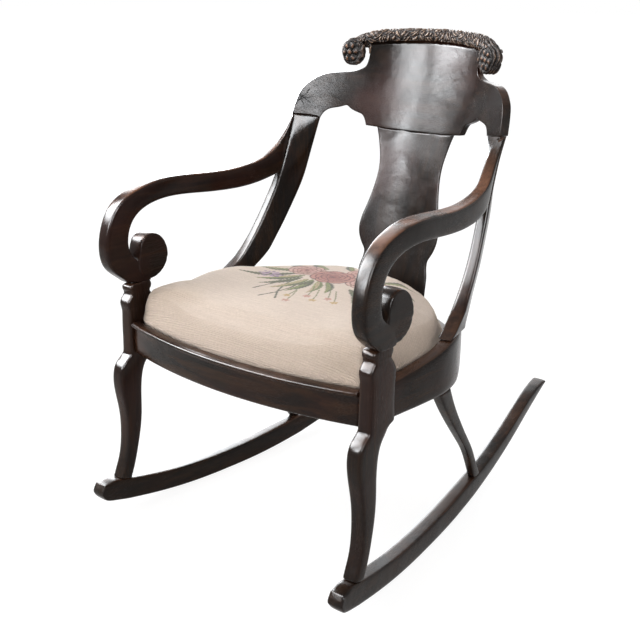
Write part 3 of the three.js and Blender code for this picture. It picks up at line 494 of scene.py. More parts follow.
def carvedRoll(r):
    made = remeshed("carved_roll", ["crest_roll"], r["voxel"], 4)
    points = pointsOf(made.data)
    x, y, z = points.T
    side = np.where(x < 0, -1.0, 1.0)
    out = np.abs(x)
    face = r["faceFrom"][0] + r["lean"] * (z - r["faceFrom"][1]) - r["bow"] * x * x
    tilt = 1 / np.hypot(1, 2 * r["bow"] * x)
    depth = (y - face) * tilt                       # distance behind the crest's face
    voluteX, voluteZ = r["volute"]
    across = (out - voluteX) / tilt / r["voluteSize"][0]
    up = (z - voluteZ) / r["voluteSize"][1]
    radius = np.hypot(across, up)
    angle = np.arctan2(up, across)                   # 0 points outward, a quarter turn points up
    along = np.where(out < voluteX - 0.01, out, voluteX - 0.01 + (np.pi / 2 - angle) * 0.026)
    bend = smoothStep(out, *r["turnsDown"])

    def wobble(scale, size, seed):
        places = (Vector((px * scale + seed, py * scale, pz * scale)) for px, py, pz in points)
        return np.array([noise.noise(place) for place in places]) * size

    sway = wobble(30, 0.0068, 3) + wobble(85, 0.0016, 5)
    turned = np.arctan2(r["middleDepth"] - depth, z - (r["middleHeight"] - 0.007 * bend) + 0.4 * x * x)
    bandShape = foliage(along * side + sway, turned * r["thickness"] + sway, r)
    flow = np.sin(2 * np.pi * (depth + sway * 0.9 + 0.0018 * np.sin(along * 95)) / r["flutePitch"])
    curl = 0.5 + 0.5 * np.sin(2 * np.pi * (along + sway) / r["curlPitch"])
    hoodShape = flow * r["fluteDepth"] + curl * r["curlDepth"]
    outside = bandShape * (1 - bend) + hoodShape * bend

    ring = np.exp(-((radius - 0.52) / 0.22) ** 4)
    petals = 0.5 + 0.5 * np.cos(angle * r["petals"] + side * 0.4 + radius * 1.4)
    boss = np.sqrt(np.clip(1 - (radius / r["bossSize"]) ** 2, 0, 1))
    rim = smoothStep(radius, 0.74, 0.9)
    rimNotch = 0.5 + 0.5 * np.sin(angle * r["rimNotches"])
    faceShape = boss * r["bossDepth"] + ring * petals ** 0.7 * r["petalDepth"]
    faceShape += rim * (r["rimDepth"] + rimNotch * r["notchDepth"]) - r["faceSink"]
    normals = normalsOf(made.data)
    onFace = smoothStep(-normals[:, 1], 0.62, 0.86) * smoothStep(1.08 - radius, 0, 0.1)
    onFace *= smoothStep(out, voluteX - 0.030, voluteX - 0.022)
    shape = outside * (1 - onFace) + faceShape * onFace
    back = smoothStep(normals[:, 1], 0.3, 0.7)
    shape = shape * (1 - 0.75 * back)
    under = smoothStep(-normals[:, 2], 0.75, 0.95) * smoothStep(0.135 - out, 0, 0.01)
    shape *= 1 - under
    shape -= r["sink"] * (1 - under)
    shape += wobble(420, r["toolMarks"], 9)
    setPoints(made.data, points + normals * shape[:, None])
    keepValue(made.data, "relief", np.clip((shape + 0.0022) / 0.0045, 0, 1))
    keepValue(made.data, "rosette", onFace)
    print("roll carved", len(points), "points")
    return made


carving = {
    # painted shade: near black in the carving's hollows
    "hollow": (0.0055, 0.0038, 0.003),
    "body": (0.034, 0.020, 0.014),
    # partly wear on the raised ridges, partly a painted highlight
    "ridgeWearAndHighlight": (0.21, 0.135, 0.092),
    # painted highlight on the highest tips of the carving
    "pale": (0.42, 0.34, 0.27),
    "rosette": (0.36, 0.17, 0.085),
}


def carvedWood():
    s = Shader("carvedMahogany")
    where = s.place()
    relief = s.attribute("relief")
    patches = s.noise(where, 60, 3, 0.6)
    fine = s.noise(where, 420, 3, 0.6)
    # painted shade: the low parts of the carving darken to near black
    colour = s.mix(s.spread(relief, 0.15, 0.65), carving["hollow"], carving["body"])
    # the ridges turn tan, partly as wear and partly as a painted highlight
    ridgeWearAndHighlight = s.spread(relief + (patches - 0.5) * 0.6 + (fine - 0.5) * 0.3, 0.62, 0.95)
    colour = s.mix(ridgeWearAndHighlight, colour, carving["ridgeWearAndHighlight"])
    # painted highlight: the highest tips lighten to pale tan
    pale = s.spread(relief + (patches - 0.5) * 0.4 + (fine - 0.5) * 0.5, 0.88, 1.05)
    colour = s.mix(pale * 0.7, colour, carving["pale"])
    warm = s.attribute("rosette") * s.spread(relief + (patches - 0.5) * 0.4, 0.45, 0.8)
    colour = s.mix(warm * 0.8, colour, carving["rosette"])
    grain = s.bump(fine, 0.0004, 0.4)
    return s.finish({"Base Color": colour, "Roughness": 0.34 + (1 - relief) * 0.3, "Normal": grain,
                     "Specular IOR Level": 0.1})


topRoll = carvedRoll(roll)
dress(topRoll, carvedWood(), "chair", "crest_roll", slot="carving")


# cushion: wool needlework over hair, swelled by a short cloth simulation

cushion = {
    "voxel": 0.005,
    "smoothing": 3,
    "startSmaller": 0.0035,
    "pressure": 4,
    "stiffness": 25,
    "frames": 20,
    "cap": 0.0085,                       # farthest that the top may swell
    "sideCap": 0.0045,
    "holdBelow": 0.3865,                 # the hem is tacked down below this height
    "shoulder": 0.0095,
    "shoulderFrom": (0.389, 0.412),
    "corner": 0.0095,
    "hem": 0.0035,
    "crown": 0.451,
    "rearStart": -0.06,
    "seatCentre": (0.0, -0.165),
    "stitch": 0.0023,
    "fineStitch": 0.0015,                # one stitch of the bouquet
    "wideRow": 0.0044,
}


def evened(mesh, values, rounds):
    ends = np.empty(len(mesh.edges) * 2, dtype=np.int32)
    mesh.edges.foreach_get("vertices", ends)
    first, second = ends.reshape(-1, 2).T
    count = np.bincount(ends, minlength=len(values))[:, None]
    for _ in range(rounds):
        total = np.zeros_like(values)
        np.add.at(total, first, values[second])
        np.add.at(total, second, values[first])
        values = 0.5 * values + 0.5 * total / count
    return values


# points back onto the solid, then the padding lifted at the sides and front corners

def fullShoulders(made, c):
    solid = bmesh.new()
    for source in ("seat_padding", "seat_cover"):
        solid.from_mesh(nodes[source].data)
    tree = bvhtree.BVHTree.FromBMesh(solid)
    points = pointsOf(made.data)
    for index, point in enumerate(points):
        points[index] = tree.find_nearest(Vector(point))[0]
    solid.free()
    out, y, z = np.abs(points[:, 0]), points[:, 1], points[:, 2]
    shoulder = smoothStep(z, *c["shoulderFrom"]) * smoothStep(c["crown"] - z, 0, 0.025)
    lift = c["shoulder"] * shoulder * smoothStep(c["rearStart"] - y, 0, 0.18) * smoothStep(out, 0.06, 0.22)
    corner = smoothStep(out, 0.11, 0.21) * smoothStep(0.264 - out, 0, 0.02) * smoothStep(-0.04 - y, 0, 0.14)
    lift += c["corner"] * corner * smoothStep(z, 0.388, 0.398) * smoothStep(y + 0.37, 0, 0.04)
    points[:, 2] += evened(made.data, lift[:, None], 24)[:, 0] * smoothStep(z, 0.386, 0.394)
    setPoints(made.data, points)


def closedHem(made, c):  # the cloth reaches the rails all round
    points, normals = pointsOf(made.data), evened(made.data, normalsOf(made.data), 4)
    outward = normals[:, :2] / np.maximum(np.hypot(normals[:, 0], normals[:, 1]), 0.3)[:, None]
    low = smoothStep(0.404 - points[:, 2], 0, 0.012)
    points[:, :2] += outward * (c["hem"] * low)[:, None]
    setPoints(made.data, points)


def pumpedUp(c):
    made = remeshed("needlework_cushion", ["seat_padding", "seat_cover"], c["voxel"], c["smoothing"])
    fullShoulders(made, c)
    start = pointsOf(made.data)
    normals = normalsOf(made.data)
    free = smoothStep(start[:, 2], c["holdBelow"], c["holdBelow"] + 0.012)
    small = start - normals * (c["startSmaller"] * free)[:, None]
    setPoints(made.data, small)
    held = made.vertex_groups.new(name="held")
    for index, z in enumerate(start[:, 2]):
        if z < c["holdBelow"]:
            held.add([index], 1.0, "REPLACE")
    cloth = made.modifiers.new("cloth", "CLOTH")
    cloth.settings.use_pressure = True
    cloth.settings.uniform_pressure_force = c["pressure"]
    cloth.settings.vertex_group_mass = "held"
    cloth.settings.effector_weights.gravity = 0
    cloth.settings.tension_stiffness = cloth.settings.compression_stiffness = c["stiffness"]
    cloth.collision_settings.use_collision = False
    cloth.point_cache.frame_start = 1
    cloth.point_cache.frame_end = c["frames"]
    for frameNumber in range(1, c["frames"] + 1):
        bpy.context.scene.frame_set(frameNumber)
    evaluated(made)
    moved = pointsOf(made.data) - small
    reach = np.linalg.norm(moved, axis=1)
    limit = c["sideCap"] + (c["cap"] - c["sideCap"]) * np.clip(normals[:, 2], 0, 1)
    moved *= np.minimum(1, limit / np.maximum(reach, 1e-9))[:, None]
    setPoints(made.data, small + evened(made.data, moved, 8))
    bpy.context.scene.frame_set(1)
    print("cushion swelled by", round(float(reach.max()) * 1000, 1), "mm at most")
    return made


def refine(made, inside, cuts):
    bm = bmesh.new()
    bm.from_mesh(made.data)
    chosen = [f for f in bm.faces if inside(f.calc_center_median())]
    edges = {e for f in chosen for e in f.edges}
    bmesh.ops.subdivide_edges(bm, edges=list(edges), cuts=cuts, use_grid_fill=True, smooth=0)
    bm.to_mesh(made.data)
    bm.free()


# place of each point in the woven cloth: how far across and how far back along the surface

def clothPlaces(made, c):
    points = pointsOf(made.data)
    normals = evened(made.data, normalsOf(made.data), 30)
    drop = (c["crown"] - points[:, 2]) * 0.9
    across = points[:, 0] - c["seatCentre"][0] + drop * normals[:, 0]
    back = points[:, 1] - c["seatCentre"][1] + drop * normals[:, 1]
    return across, back


# bouquet, drawn stitch by stitch in metres on the cloth

thread = {
    "ground": (0.655, 0.545, 0.46),
    "palePink": (0.58, 0.36, 0.30),
    "pink": (0.44, 0.185, 0.16),
    "rose": (0.25, 0.055, 0.055),
    "deepRose": (0.085, 0.013, 0.018),
    "leaf": (0.075, 0.120, 0.026),
    "darkLeaf": (0.014, 0.040, 0.022),
    "paleLeaf": (0.23, 0.27, 0.075),
    "stem": (0.018, 0.038, 0.020),
    "lilac": (0.36, 0.26, 0.35),
    "deepLilac": (0.17, 0.11, 0.21),
    "ochre": (0.46, 0.30, 0.10),
    "bud": (0.48, 0.22, 0.18),
}


class Drawing:
    def __init__(self, across, back, ground):
        self.x = across
        self.y = back
        self.colour = np.tile(np.array(ground), (len(across), 1))

    def lay(self, mask, colour):
        share = np.clip(mask, 0, 1)[:, None]
        self.colour = self.colour * (1 - share) + np.array(colour) * share

    def local(self, centre, turn):
        c, s = math.cos(turn), math.sin(turn)
        dx, dy = self.x - centre[0], self.y - centre[1]
        return dx * c + dy * s, -dx * s + dy * c

    def oval(self, centre, size, turn, colour):
        a, b = self.local(centre, turn)
        far = np.hypot(a / size[0], b / size[1])
        self.lay(smoothStep((1 - far) * min(size), -0.0005, 0.0005), colour)

    def leaf(self, root, tip, width, tones):
        dark, body, light = (thread[tone] for tone in tones)
        length = math.dist(root, tip)
        a, b = self.local(root, math.atan2(tip[1] - root[1], tip[0] - root[0]))
        share = np.clip(a / length, 0, 1)
        half = width * np.sin(np.pi * share ** 0.75) ** 0.85 * (1 + 0.16 * np.sin(a * 2 * np.pi / 0.0075))
        off = b - 0.11 * length * np.sin(np.pi * share)
        inside = smoothStep(half - np.abs(off), -0.0005, 0.0006) * (a > 0) * (a < length)
        self.lay(inside, body)
        self.lay(inside * smoothStep(off, -0.0005, width * 0.35), dark)
        self.lay(inside * smoothStep(0.0012 - np.abs(off + width * 0.45), 0, 0.0006) * (share > 0.15), light)
        self.lay(inside * smoothStep(0.0010 - np.abs(off), 0, 0.0005), light)

    def stem(self, path, width, colour):
        far = np.full(len(self.x), 9.0)
        for (ax, ay), (bx, by) in zip(path, path[1:]):
            dx, dy = bx - ax, by - ay
            share = np.clip(((self.x - ax) * dx + (self.y - ay) * dy) / (dx * dx + dy * dy), 0, 1)
            far = np.minimum(far, np.hypot(self.x - ax - share * dx, self.y - ay - share * dy))
        self.lay(smoothStep(width / 2 - far, -0.0005, 0.0005), thread[colour])

    def rose(self, centre, radius, turn, tones):
        pale, middle, deep = (np.array(thread[tone]) for tone in tones)
        rings = ((7, 0.66, 0.40), (6, 0.46, 0.36), (5, 0.28, 0.30), (3, 0.13, 0.20))
        for ring, (count, reach, size) in enumerate(rings):
            fade = ring / 4
            for k in range(count):
                angle = turn + ring * 0.55 + 2 * math.pi * k / count
                place = (centre[0] + radius * reach * math.cos(angle),
                         centre[1] + radius * reach * 0.82 * math.sin(angle))
                petal = (radius * size, radius * size * 0.72)
                self.oval(place, (petal[0] * 1.13, petal[1] * 1.18), angle + math.pi / 2, deep)
                self.oval(place, petal, angle + math.pi / 2, pale * (1 - fade) + middle * fade)
                inner = (place[0] - radius * 0.07 * math.cos(angle), place[1] - radius * 0.07 * math.sin(angle))
                self.oval(inner, (petal[0] * 0.72, petal[1] * 0.62), angle + math.pi / 2,
                          middle * (1 - fade * 0.5) + deep * fade * 0.5)
        self.oval(centre, (radius * 0.11, radius * 0.09), 0, deep)


def bouquet(across, back):
    d = Drawing(across, back + 0.012, thread["ground"])
    luck = random.Random(4)
    for path in ([(-0.040, 0.060), (-0.030, 0.000), (-0.034, -0.040), (-0.046, -0.072)],
                 [(-0.060, 0.060), (-0.052, 0.010), (-0.036, -0.030), (-0.012, -0.066)],
                 [(-0.080, 0.050), (-0.074, 0.000), (-0.084, -0.044)]):
        d.stem(path, 0.0036, "stem")
    green, cool = ("darkLeaf", "leaf", "paleLeaf"), ("stem", "darkLeaf", "leaf")
    fresh = ("leaf", "paleLeaf", "palePink")
    leaves = [
        ((-0.080, 0.085), (-0.182, 0.016), 0.0088, cool), ((-0.085, 0.110), (-0.186, 0.078), 0.0092, green),
        ((-0.075, 0.130), (-0.158, 0.142), 0.0098, cool), ((-0.050, 0.140), (-0.118, 0.186), 0.0092, green),
        ((-0.005, 0.160), (-0.044, 0.214), 0.0088, green), ((0.030, 0.160), (0.062, 0.216), 0.0088, cool),
        ((0.080, 0.130), (0.150, 0.172), 0.0098, green), ((0.090, 0.110), (0.182, 0.098), 0.0092, cool),
        ((0.085, 0.080), (0.158, 0.030), 0.0088, green), ((0.060, 0.060), (0.112, -0.004), 0.0082, cool),
        ((-0.060, 0.080), (-0.126, 0.008), 0.0094, green), ((-0.055, 0.066), (-0.100, -0.014), 0.0088, cool),
        ((-0.040, 0.064), (-0.066, -0.026), 0.0092, fresh), ((-0.030, 0.066), (-0.028, -0.024), 0.0094, green),
        ((-0.016, 0.066), (0.012, -0.010), 0.0088, fresh), ((0.000, 0.070), (0.040, 0.010), 0.0080, green),
        ((-0.070, 0.070), (-0.104, 0.034), 0.0084, fresh), ((-0.022, 0.058), (-0.048, 0.010), 0.0070, cool),
    ]
    for root, tip, width, tones in leaves:
        d.leaf(root, tip, width, tones)
    for middle, count, spreadOut in (((-0.118, 0.046), 46, 0.021), ((0.122, 0.064), 30, 0.018)):
        for _ in range(count):
            angle, far = luck.uniform(0, 2 * math.pi), spreadOut * math.sqrt(luck.random())
            place = (middle[0] + far * math.cos(angle) * 1.3, middle[1] + far * math.sin(angle) * 0.8)
            tone = thread["lilac"] if luck.random() < 0.55 else thread["deepLilac"]
            d.oval(place, (0.0034, 0.0028), angle, tone)
    d.rose((0.022, 0.160), 0.035, 0.8, ("palePink", "pink", "rose"))
    d.rose((-0.082, 0.112), 0.040, 0.3, ("palePink", "pink", "deepRose"))
    d.rose((0.062, 0.108), 0.041, 1.2, ("palePink", "pink", "deepRose"))
    d.rose((-0.012, 0.104), 0.047, 2.0, ("pink", "rose", "deepRose"))
    buds = [
        ((-0.006, -0.040), "ochre", -0.02), ((0.026, -0.022), "bud", 0.0), ((0.048, -0.034), "ochre", 0.02),
        ((0.066, -0.012), "bud", 0.03), ((0.088, -0.022), "ochre", 0.05), ((0.010, -0.062), "bud", -0.01),
    ]
    for place, tone, root in buds:
        d.stem([place, ((place[0] + root) / 2 + 0.004, place[1] + 0.024), (root, place[1] + 0.056)], 0.0020, "leaf")
        for k in range(5):
            angle = 2 * math.pi * k / 5 + place[0] * 40
            petal = (place[0] + 0.0048 * math.cos(angle), place[1] + 0.0044 * math.sin(angle))
            d.oval(petal, (0.0034, 0.0022), angle, thread[tone])
    return d.colour


def stitched(made, c):
    across, back = clothPlaces(made, c)
    size = c["fineStitch"]
    column, line = np.floor(across / size), np.floor(back / size)
    colours = bouquet((column + 0.5) * size, (line + 0.5) * size)
    lucky = np.mod(np.sin(column * 12.9898 + line * 78.233) * 43758.5453, 1.0)
    colours *= (0.94 + 0.12 * lucky)[:, None]
    keepColour(made.data, "thread", colours)
    layer = made.data.uv_layers.new(name="cloth")
    loops = np.empty(len(made.data.loops), dtype=np.int32)
    made.data.loops.foreach_get("vertex_index", loops)
    flat = np.stack([across, back], axis=1)
    layer.data.foreach_set("uv", flat[loops].ravel())


def needlework(c):
    s = Shader("woolNeedlework")
    cloth = s.node("ShaderNodeUVMap", {"uv_map": "cloth"}, {})
    across, back, _ = s.split(cloth)
    where = s.place()
    turn = 2 * math.pi / c["stitch"]
    rows = s.sine(back * turn + across * (turn * 0.5))
    columns = s.sine(across * turn)
    lines = s.sine(back * turn)
    long = s.node("ShaderNodeMapping", {}, {"Vector": cloth, "Scale": (18, 260, 1)})
    drawnRows = s.noise(long, 1, 3, 0.6)
    soil = s.noise(where, 6, 4, 0.6)
    fuzz = s.noise(where, 900, 2, 0.6)
    colour = s.attribute("thread", "Color")
    wide = s.sine(back * (2 * math.pi / c["wideRow"]) + drawnRows * 2.4)
    shade = s.mix(s.spread(drawnRows, 0.35, 0.7) * 0.16, colour, (0.30, 0.22, 0.165))
    shade = s.mix(s.spread(soil, 0.45, 0.75) * 0.20, shade, (0.38, 0.29, 0.18))
    pulledSidesAndWarmShade = s.spread(s.upward(), 1.0, 0.62, 0.2, 1)  # the cloth is drawn tight down the sides; the same mask also tints the sides warmer and darker as painted warm bounce shade
    grit = s.spread(s.noise(where, 330, 2, 0.6), 0.4, 0.7)
    # painted shade: a warm tan mixed in down the sides, standing in for warm bounce light in their shade
    shade = s.mix(pulledSidesAndWarmShade * 0.22, shade, (0.56, 0.40, 0.28))
    # painted shade: darker in the low places between the stitches, and between the drawn rows down the sides; grit
    # adds fine dirt
    stitchGapShade = (0.5 - lines * 0.5) * 0.13 + (0.5 - columns * 0.5) * 0.10 + (0.5 - wide * 0.5) * pulledSidesAndWarmShade * 0.12
    shade = s.mix(stitchGapShade + grit * 0.10, shade, (0.26, 0.19, 0.14))
    threads = rows * 0.3 + lines * 0.4 + columns * 0.35 + wide * pulledSidesAndWarmShade * 0.8
    relief = s.bump(threads + drawnRows * 0.9 + fuzz * 0.5 + grit * 0.5, 0.0009, 0.75)
    return s.finish({"Base Color": shade, "Roughness": 0.95, "Normal": relief, "Specular IOR Level": 0.15,
                     "Sheen Weight": 0.12, "Sheen Roughness": 0.5})


def onBouquet(place):
    return abs(place.x) < 0.19 and -0.26 < place.y < 0.07 and place.z > 0.42


pad = pumpedUp(cushion)
closedHem(pad, cushion)
subdivided(pad, 1)
refine(pad, onBouquet, 1)
shadeSmooth(pad)
stitched(pad, cushion)
dress(pad, needlework(cushion), "seat", "seat_cover", "seat_padding", slot="needlework")
print("cushion made", len(pad.data.polygons), "faces")


# inside of the seat and the small pieces

def bareWood(name, grain, light, dark):
    s = Shader(name)
    along = s.place(grainTurns[grain])
    figure = s.noise(along, 2.4, 5, 0.6, 0.5)
    streaks = s.noise(along, 14, 5, 0.65)
    grime = s.noise(s.place(), 9, 4, 0.6)
    colour = s.mix(s.spread(figure, 0.38, 0.66) * 0.7 + s.spread(streaks, 0.4, 0.7) * 0.3, light, dark)
    colour = s.mix(s.spread(grime, 0.5, 0.75) * 0.4, colour, (0.16, 0.10, 0.06))
    return s.finish({"Base Color": colour, "Roughness": s.spread(streaks, 0.3, 0.7, 0.62, 0.8),
                     "Normal": s.bump(streaks, 0.0005, 0.4)})


def weave(name, pitch, first, second):
    s = Shader(name)
    x, y, _ = s.split(s.place())
    turn = 2 * math.pi / pitch
    over = s.spread(s.sine(x * turn) * s.sine(y * turn), -0.5, 0.5)
    slubs = s.noise(s.place(), 160, 3, 0.6)
    colour = s.mix(over * 0.6 + s.spread(slubs, 0.35, 0.7) * 0.4, first, second)
    return s.finish({"Base Color": colour, "Roughness": 0.95, "Normal": s.bump(over + slubs * 0.5, 0.0006, 0.7),
                     "Specular IOR Level": 0.2})


def dullSteel():
    s = Shader("dullSteel")
    scratches = s.noise(s.place((1, 1, 14)), 160, 3, 0.6)
    rust = s.noise(s.place(), 90, 4, 0.6)
    colour = s.mix(s.spread(rust, 0.5, 0.7) * 0.6, (0.42, 0.41, 0.39), (0.16, 0.085, 0.05))
    return s.finish({"Base Color": colour, "Metallic": s.spread(rust, 0.7, 0.5),
                     "Roughness": s.spread(scratches, 0.3, 0.7, 0.35, 0.6), "Normal": s.bump(scratches, 0.0002, 0.3)})


def recolour(nodeName, material):
    made = nodes[nodeName]
    made.data.materials.clear()
    made.data.materials.append(material)


webbing = {"wave": 0.0007, "pitch": 0.104, "thickness": 0.0013, "columns": 121, "rows": 13}
sacking = {"down": 0.0007, "thickness": 0.0008, "cuts": 12}


# a strap as a waved band, built by nodes: length, width, wave and its pitch are inputs

def strapTree(material):
    tree = bpy.data.node_groups.new("strapTree", "GeometryNodeTree")
    tree.interface.new_socket("Geometry", in_out="OUTPUT", socket_type="NodeSocketGeometry")
    for name in ("Length", "Width", "Wave", "Pitch", "Start"):
        tree.interface.new_socket(name, in_out="INPUT", socket_type="NodeSocketFloat")

    def add(kind, links, settings=None):
        made = tree.nodes.new(kind)
        for key, value in (settings or {}).items():
            setattr(made, key, value)
        for key, value in links.items():
            if isinstance(value, bpy.types.NodeSocket):
                tree.links.new(value, made.inputs[key])
            else:
                made.inputs[key].default_value = value
        return made

    given = add("NodeGroupInput", {}).outputs
    grid = add("GeometryNodeMeshGrid", {"Size X": given["Length"], "Size Y": given["Width"],
                                        "Vertices X": webbing["columns"], "Vertices Y": webbing["rows"]})
    place = add("ShaderNodeSeparateXYZ", {0: add("GeometryNodeInputPosition", {}).outputs[0]})
    turn = add("ShaderNodeMath", {0: place.outputs["X"], 1: given["Pitch"]}, {"operation": "DIVIDE"})
    angle = add("ShaderNodeMath", {0: turn.outputs[0], 1: math.pi}, {"operation": "MULTIPLY"})
    begun = add("ShaderNodeMath", {0: angle.outputs[0], 1: given["Start"]}, {"operation": "ADD"})
    sine = add("ShaderNodeMath", {0: begun.outputs[0]}, {"operation": "SINE"})
    lift = add("ShaderNodeMath", {0: sine.outputs[0], 1: given["Wave"]}, {"operation": "MULTIPLY"})
    offset = add("ShaderNodeCombineXYZ", {"Z": lift.outputs[0]})
    waved = add("GeometryNodeSetPosition", {"Geometry": grid.outputs["Mesh"], "Offset": offset.outputs[0]})
    real = add("GeometryNodeRealizeInstances", {"Geometry": waved.outputs[0]})
    painted = add("GeometryNodeSetMaterial", {"Geometry": real.outputs[0], "Material": material})
    tree.links.new(painted.outputs[0], add("NodeGroupOutput", {}).inputs[0])
    return tree


def strap(nodeName, tree, start):
    lowest, highest = (Vector(corner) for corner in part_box(nodeName))
    size, middle = highest - lowest, (highest + lowest) / 2
    made = linkMesh(nodeName + "_woven", bpy.data.meshes.new(nodeName + "_woven"))
    nodesStep = made.modifiers.new("strap", "NODES")
    nodesStep.node_group = tree
    wanted = {"Length": max(size.x, size.y), "Width": min(size.x, size.y), "Wave": webbing["wave"],
              "Pitch": webbing["pitch"], "Start": start}
    for item in tree.interface.items_tree:
        if item.in_out == "INPUT":
            nodesStep[item.identifier] = wanted[item.name]
    thickened(made, webbing["thickness"])
    if size.x <= size.y:  # runs front to back
        made.data.transform(Matrix.Rotation(math.pi / 2, 4, "Z"))
    made.data.transform(Matrix.Translation(middle))
    shadeSmooth(made)
    return made


def burlapSheet():
    solid = mergedCopy("seat_burlap")
    solid.normal_update()
    bmesh.ops.delete(solid, geom=[f for f in solid.faces if f.normal.z < 0.5], context="FACES")
    bmesh.ops.dissolve_limit(solid, angle_limit=0.02, verts=solid.verts, edges=solid.edges)
    bmesh.ops.triangulate(solid, faces=solid.faces)
    bmesh.ops.subdivide_edges(solid, edges=solid.edges, cuts=sacking["cuts"], use_grid_fill=True)
    area = sum(f.calc_area() for f in solid.faces)
    bmesh.ops.translate(solid, verts=solid.verts, vec=(0, 0, -sacking["down"]))
    return thickened(fromBmesh("burlap_sheet", solid), sacking["thickness"]), area


inside = {
    "frame": ((0.42, 0.29, 0.17), (0.28, 0.18, 0.10)),
    "block": ((0.36, 0.24, 0.14), (0.22, 0.14, 0.08)),
    "strap": ((0.30, 0.22, 0.13), (0.47, 0.37, 0.24)),
    "sack": ((0.34, 0.25, 0.15), (0.52, 0.41, 0.27)),
    "strapPitch": 0.0024,
    "sackPitch": 0.0032,
    "frameEase": 0.002,
}
frameAcross = bareWood("seatFrameAcross", "x", *inside["frame"])
frameAlong = bareWood("seatFrameAlong", "y", *inside["frame"])
for nodeName, wood in (("seat_frame_front", frameAcross), ("seat_frame_rear", frameAcross),
                       ("seat_frame_left", frameAlong), ("seat_frame_right", frameAlong)):
    dress(rounded(nodeName, inside["frameEase"], 1), wood, "seat", nodeName, slot="secondary_wood")
blockWood = bareWood("blockWood", "z", *inside["block"])
strapCloth = weave("webbingCloth", inside["strapPitch"], *inside["strap"])
sackCloth = weave("burlapCloth", inside["sackPitch"], *inside["sack"])
steel = dullSteel()
for nodeName in nodes.keys():
    if nodeName.endswith("corner_block"):
        recolour(nodeName, blockWood)
    elif nodeName.endswith("screw"):
        recolour(nodeName, steel)
recolour("splat_tongue", woods["rail"])
straps = strapTree(strapCloth)
for nodeName, start in (("webbing_left", 0), ("webbing_middle", math.pi), ("webbing_right", 0),
                        ("webbing_cross_front", math.pi / 2), ("webbing_cross_rear", -math.pi / 2)):
    dress(strap(nodeName, straps, start), strapCloth, "seat", nodeName, slot="jute")
sack, sackArea = burlapSheet()
dress(sack, sackCloth, "seat", "seat_burlap", slot="jute")
print("seat's inside finished")


# stage

def studio(light):
    world = bpy.data.worlds.new("studio")
    bpy.context.scene.world = world
    world.use_nodes = True
    tree = world.node_tree
    tree.nodes.clear()
    path = tree.nodes.new("ShaderNodeLightPath")
    seen = path.outputs["Is Camera Ray"]
    for ray in ("Is Glossy Ray", "Is Transmission Ray"):
        either = tree.nodes.new("ShaderNodeMath")
        either.operation = "MAXIMUM"
        tree.links.new(seen, either.inputs[0])
        tree.links.new(path.outputs[ray], either.inputs[1])
        seen = either.outputs[0]
    strength = tree.nodes.new("ShaderNodeMapRange")
    strength.inputs["To Min"].default_value = light["fill"]
    strength.inputs["To Max"].default_value = 1
    tree.links.new(seen, strength.inputs["Value"])
    background = tree.nodes.new("ShaderNodeBackground")
    background.inputs["Color"].default_value = (1, 1, 1, 1)
    tree.links.new(strength.outputs[0], background.inputs["Strength"])
    out = tree.nodes.new("ShaderNodeOutputWorld")
    tree.links.new(background.outputs[0], out.inputs["Surface"])
    for name, place, target, size, power in light["lamps"]:
        lamp = bpy.data.objects.new(name, bpy.data.lights.new(name, "AREA"))
        lamp.visible_glossy = False
        lamp.data.shape = "RECTANGLE"
        lamp.data.size, lamp.data.size_y = size
        lamp.data.energy = power
        lamp.location = place
        lamp.rotation_euler = (Vector(target) - Vector(place)).to_track_quat("-Z", "Y").to_euler()
        bpy.context.scene.collection.objects.link(lamp)


# soft cards that only show as sheen on the polish, seen through each other where they overlap

def reflectionCards(cards):
    s = Shader("cardGlow")
    light = s.node("ShaderNodeEmission", {}, {"Color": s.attribute("glow", "Color"), "Strength": cards["strength"]})
    s.putOut(s.node("ShaderNodeAddShader", {}, {0: light, 1: s.node("ShaderNodeBsdfTransparent", {}, {})}))
    for name, turn, rise, halfTurn, halfRise, level in cards["list"]:
        bm = bmesh.new()
        bmesh.ops.create_grid(bm, x_segments=cards["segments"], y_segments=cards["segments"], size=1)
        shares = [(v.co.x, v.co.y) for v in bm.verts]
        for v, (across, up) in zip(bm.verts, shares):
            bearing, height = math.radians(turn + across * halfTurn), math.radians(rise + up * halfRise)
            v.co = Vector((math.sin(bearing) * math.cos(height), -math.cos(bearing) * math.cos(height),
                           math.sin(height))) * cards["distance"] + Vector(cards["centre"])
        card = fromBmesh(name, bm)
        fade = smoothStep(1 - np.abs(np.array(shares)), 0, cards["soft"]).prod(axis=1) * level
        keepColour(card.data, "glow", fade[:, None] * np.array(cards["tint"]))
        card.data.materials.append(s.material)
        card.visible_camera = card.visible_diffuse = card.visible_shadow = False
        card.visible_transmission = card.visible_volume_scatter = False


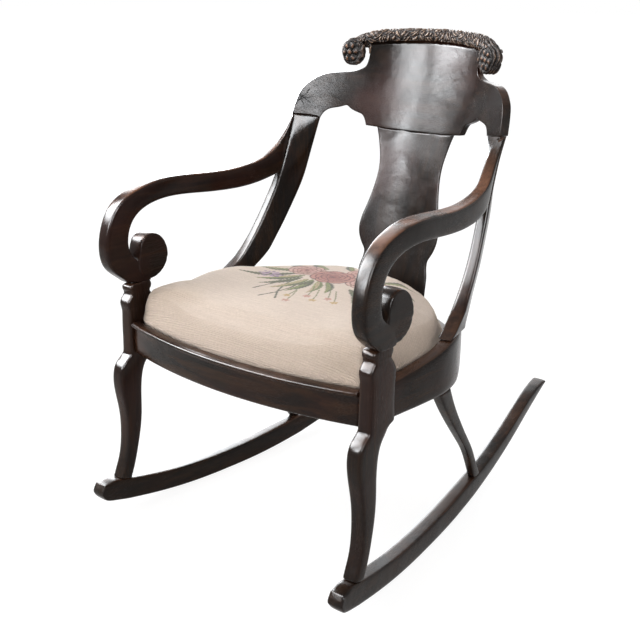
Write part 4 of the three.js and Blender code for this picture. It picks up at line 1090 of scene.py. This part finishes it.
def paleFloor(ground):
    s = Shader("floorPaint")
    camera, glossy, clear = (s.node("ShaderNodeLightPath", {}, {}, ray)
                             for ray in ("Is Camera Ray", "Is Glossy Ray", "Is Transmission Ray"))
    seen = camera * ground["whiteSeen"] + (glossy + clear) * ground["whiteMirrored"]
    plain = s.node("ShaderNodeBsdfDiffuse", {}, {"Color": ground["paint"]})
    glow = s.node("ShaderNodeEmission", {}, {"Color": (1, 1, 1, 1), "Strength": ground["glow"]})
    s.putOut(s.node("ShaderNodeMixShader", {}, {0: seen, 1: plain, 2: glow}))
    bm = bmesh.new()
    bmesh.ops.create_grid(bm, x_segments=1, y_segments=1, size=ground["reach"])
    bmesh.ops.translate(bm, verts=bm.verts, vec=(0, 0, -ground["down"]))
    floor = fromBmesh("floor", bm)
    floor.data.materials.append(s.material)


studio({
    "fill": 0.64,
    "lamps": [  # name, place, target, size, power
        ("windowLamp", (-2.3, -2.0, 1.8), (0, 0, 0.5), (1.1, 1.9), 60),
        ("topLamp", (-0.5, 0.0, 2.8), (0, 0, 0.4), (1.8, 1.8), 38),
        ("frontLamp", (1.5, -2.5, 0.9), (0, 0, 0.4), (1.6, 1.2), 17),
    ],
})
reflectionCards({
    "centre": (0, 0, 0.6),
    "distance": 5,
    "segments": 24,
    "soft": 0.5,
    "strength": 46,
    "tint": (0.97, 1.0, 1.03),
    "list": [  # name, turn and height in degrees, half their extents, level
        ("cardWindow", -22, 36, 17, 21, 1.15),
        ("cardSecondWindow", -58, 37, 22, 21, 2.0),
        ("cardLowWindow", -24, 19, 7, 6, 2.0),
        ("cardDoor", 42, 36, 14, 21, 1.6),
        ("cardWall", -122, 14, 22, 30, 0.35),
        ("cardBackdrop", -142, 20, 40, 16, 0.07),
    ],
})
paleFloor({
    "reach": 30,
    "down": 0.0005,
    "paint": (0.9, 0.9, 0.9, 1),
    "glow": 1.12,
    "whiteSeen": 0.8,
    "whiteMirrored": 0.3,
})
print("stage set")

bpy.context.scene.view_settings.view_transform = "Standard"
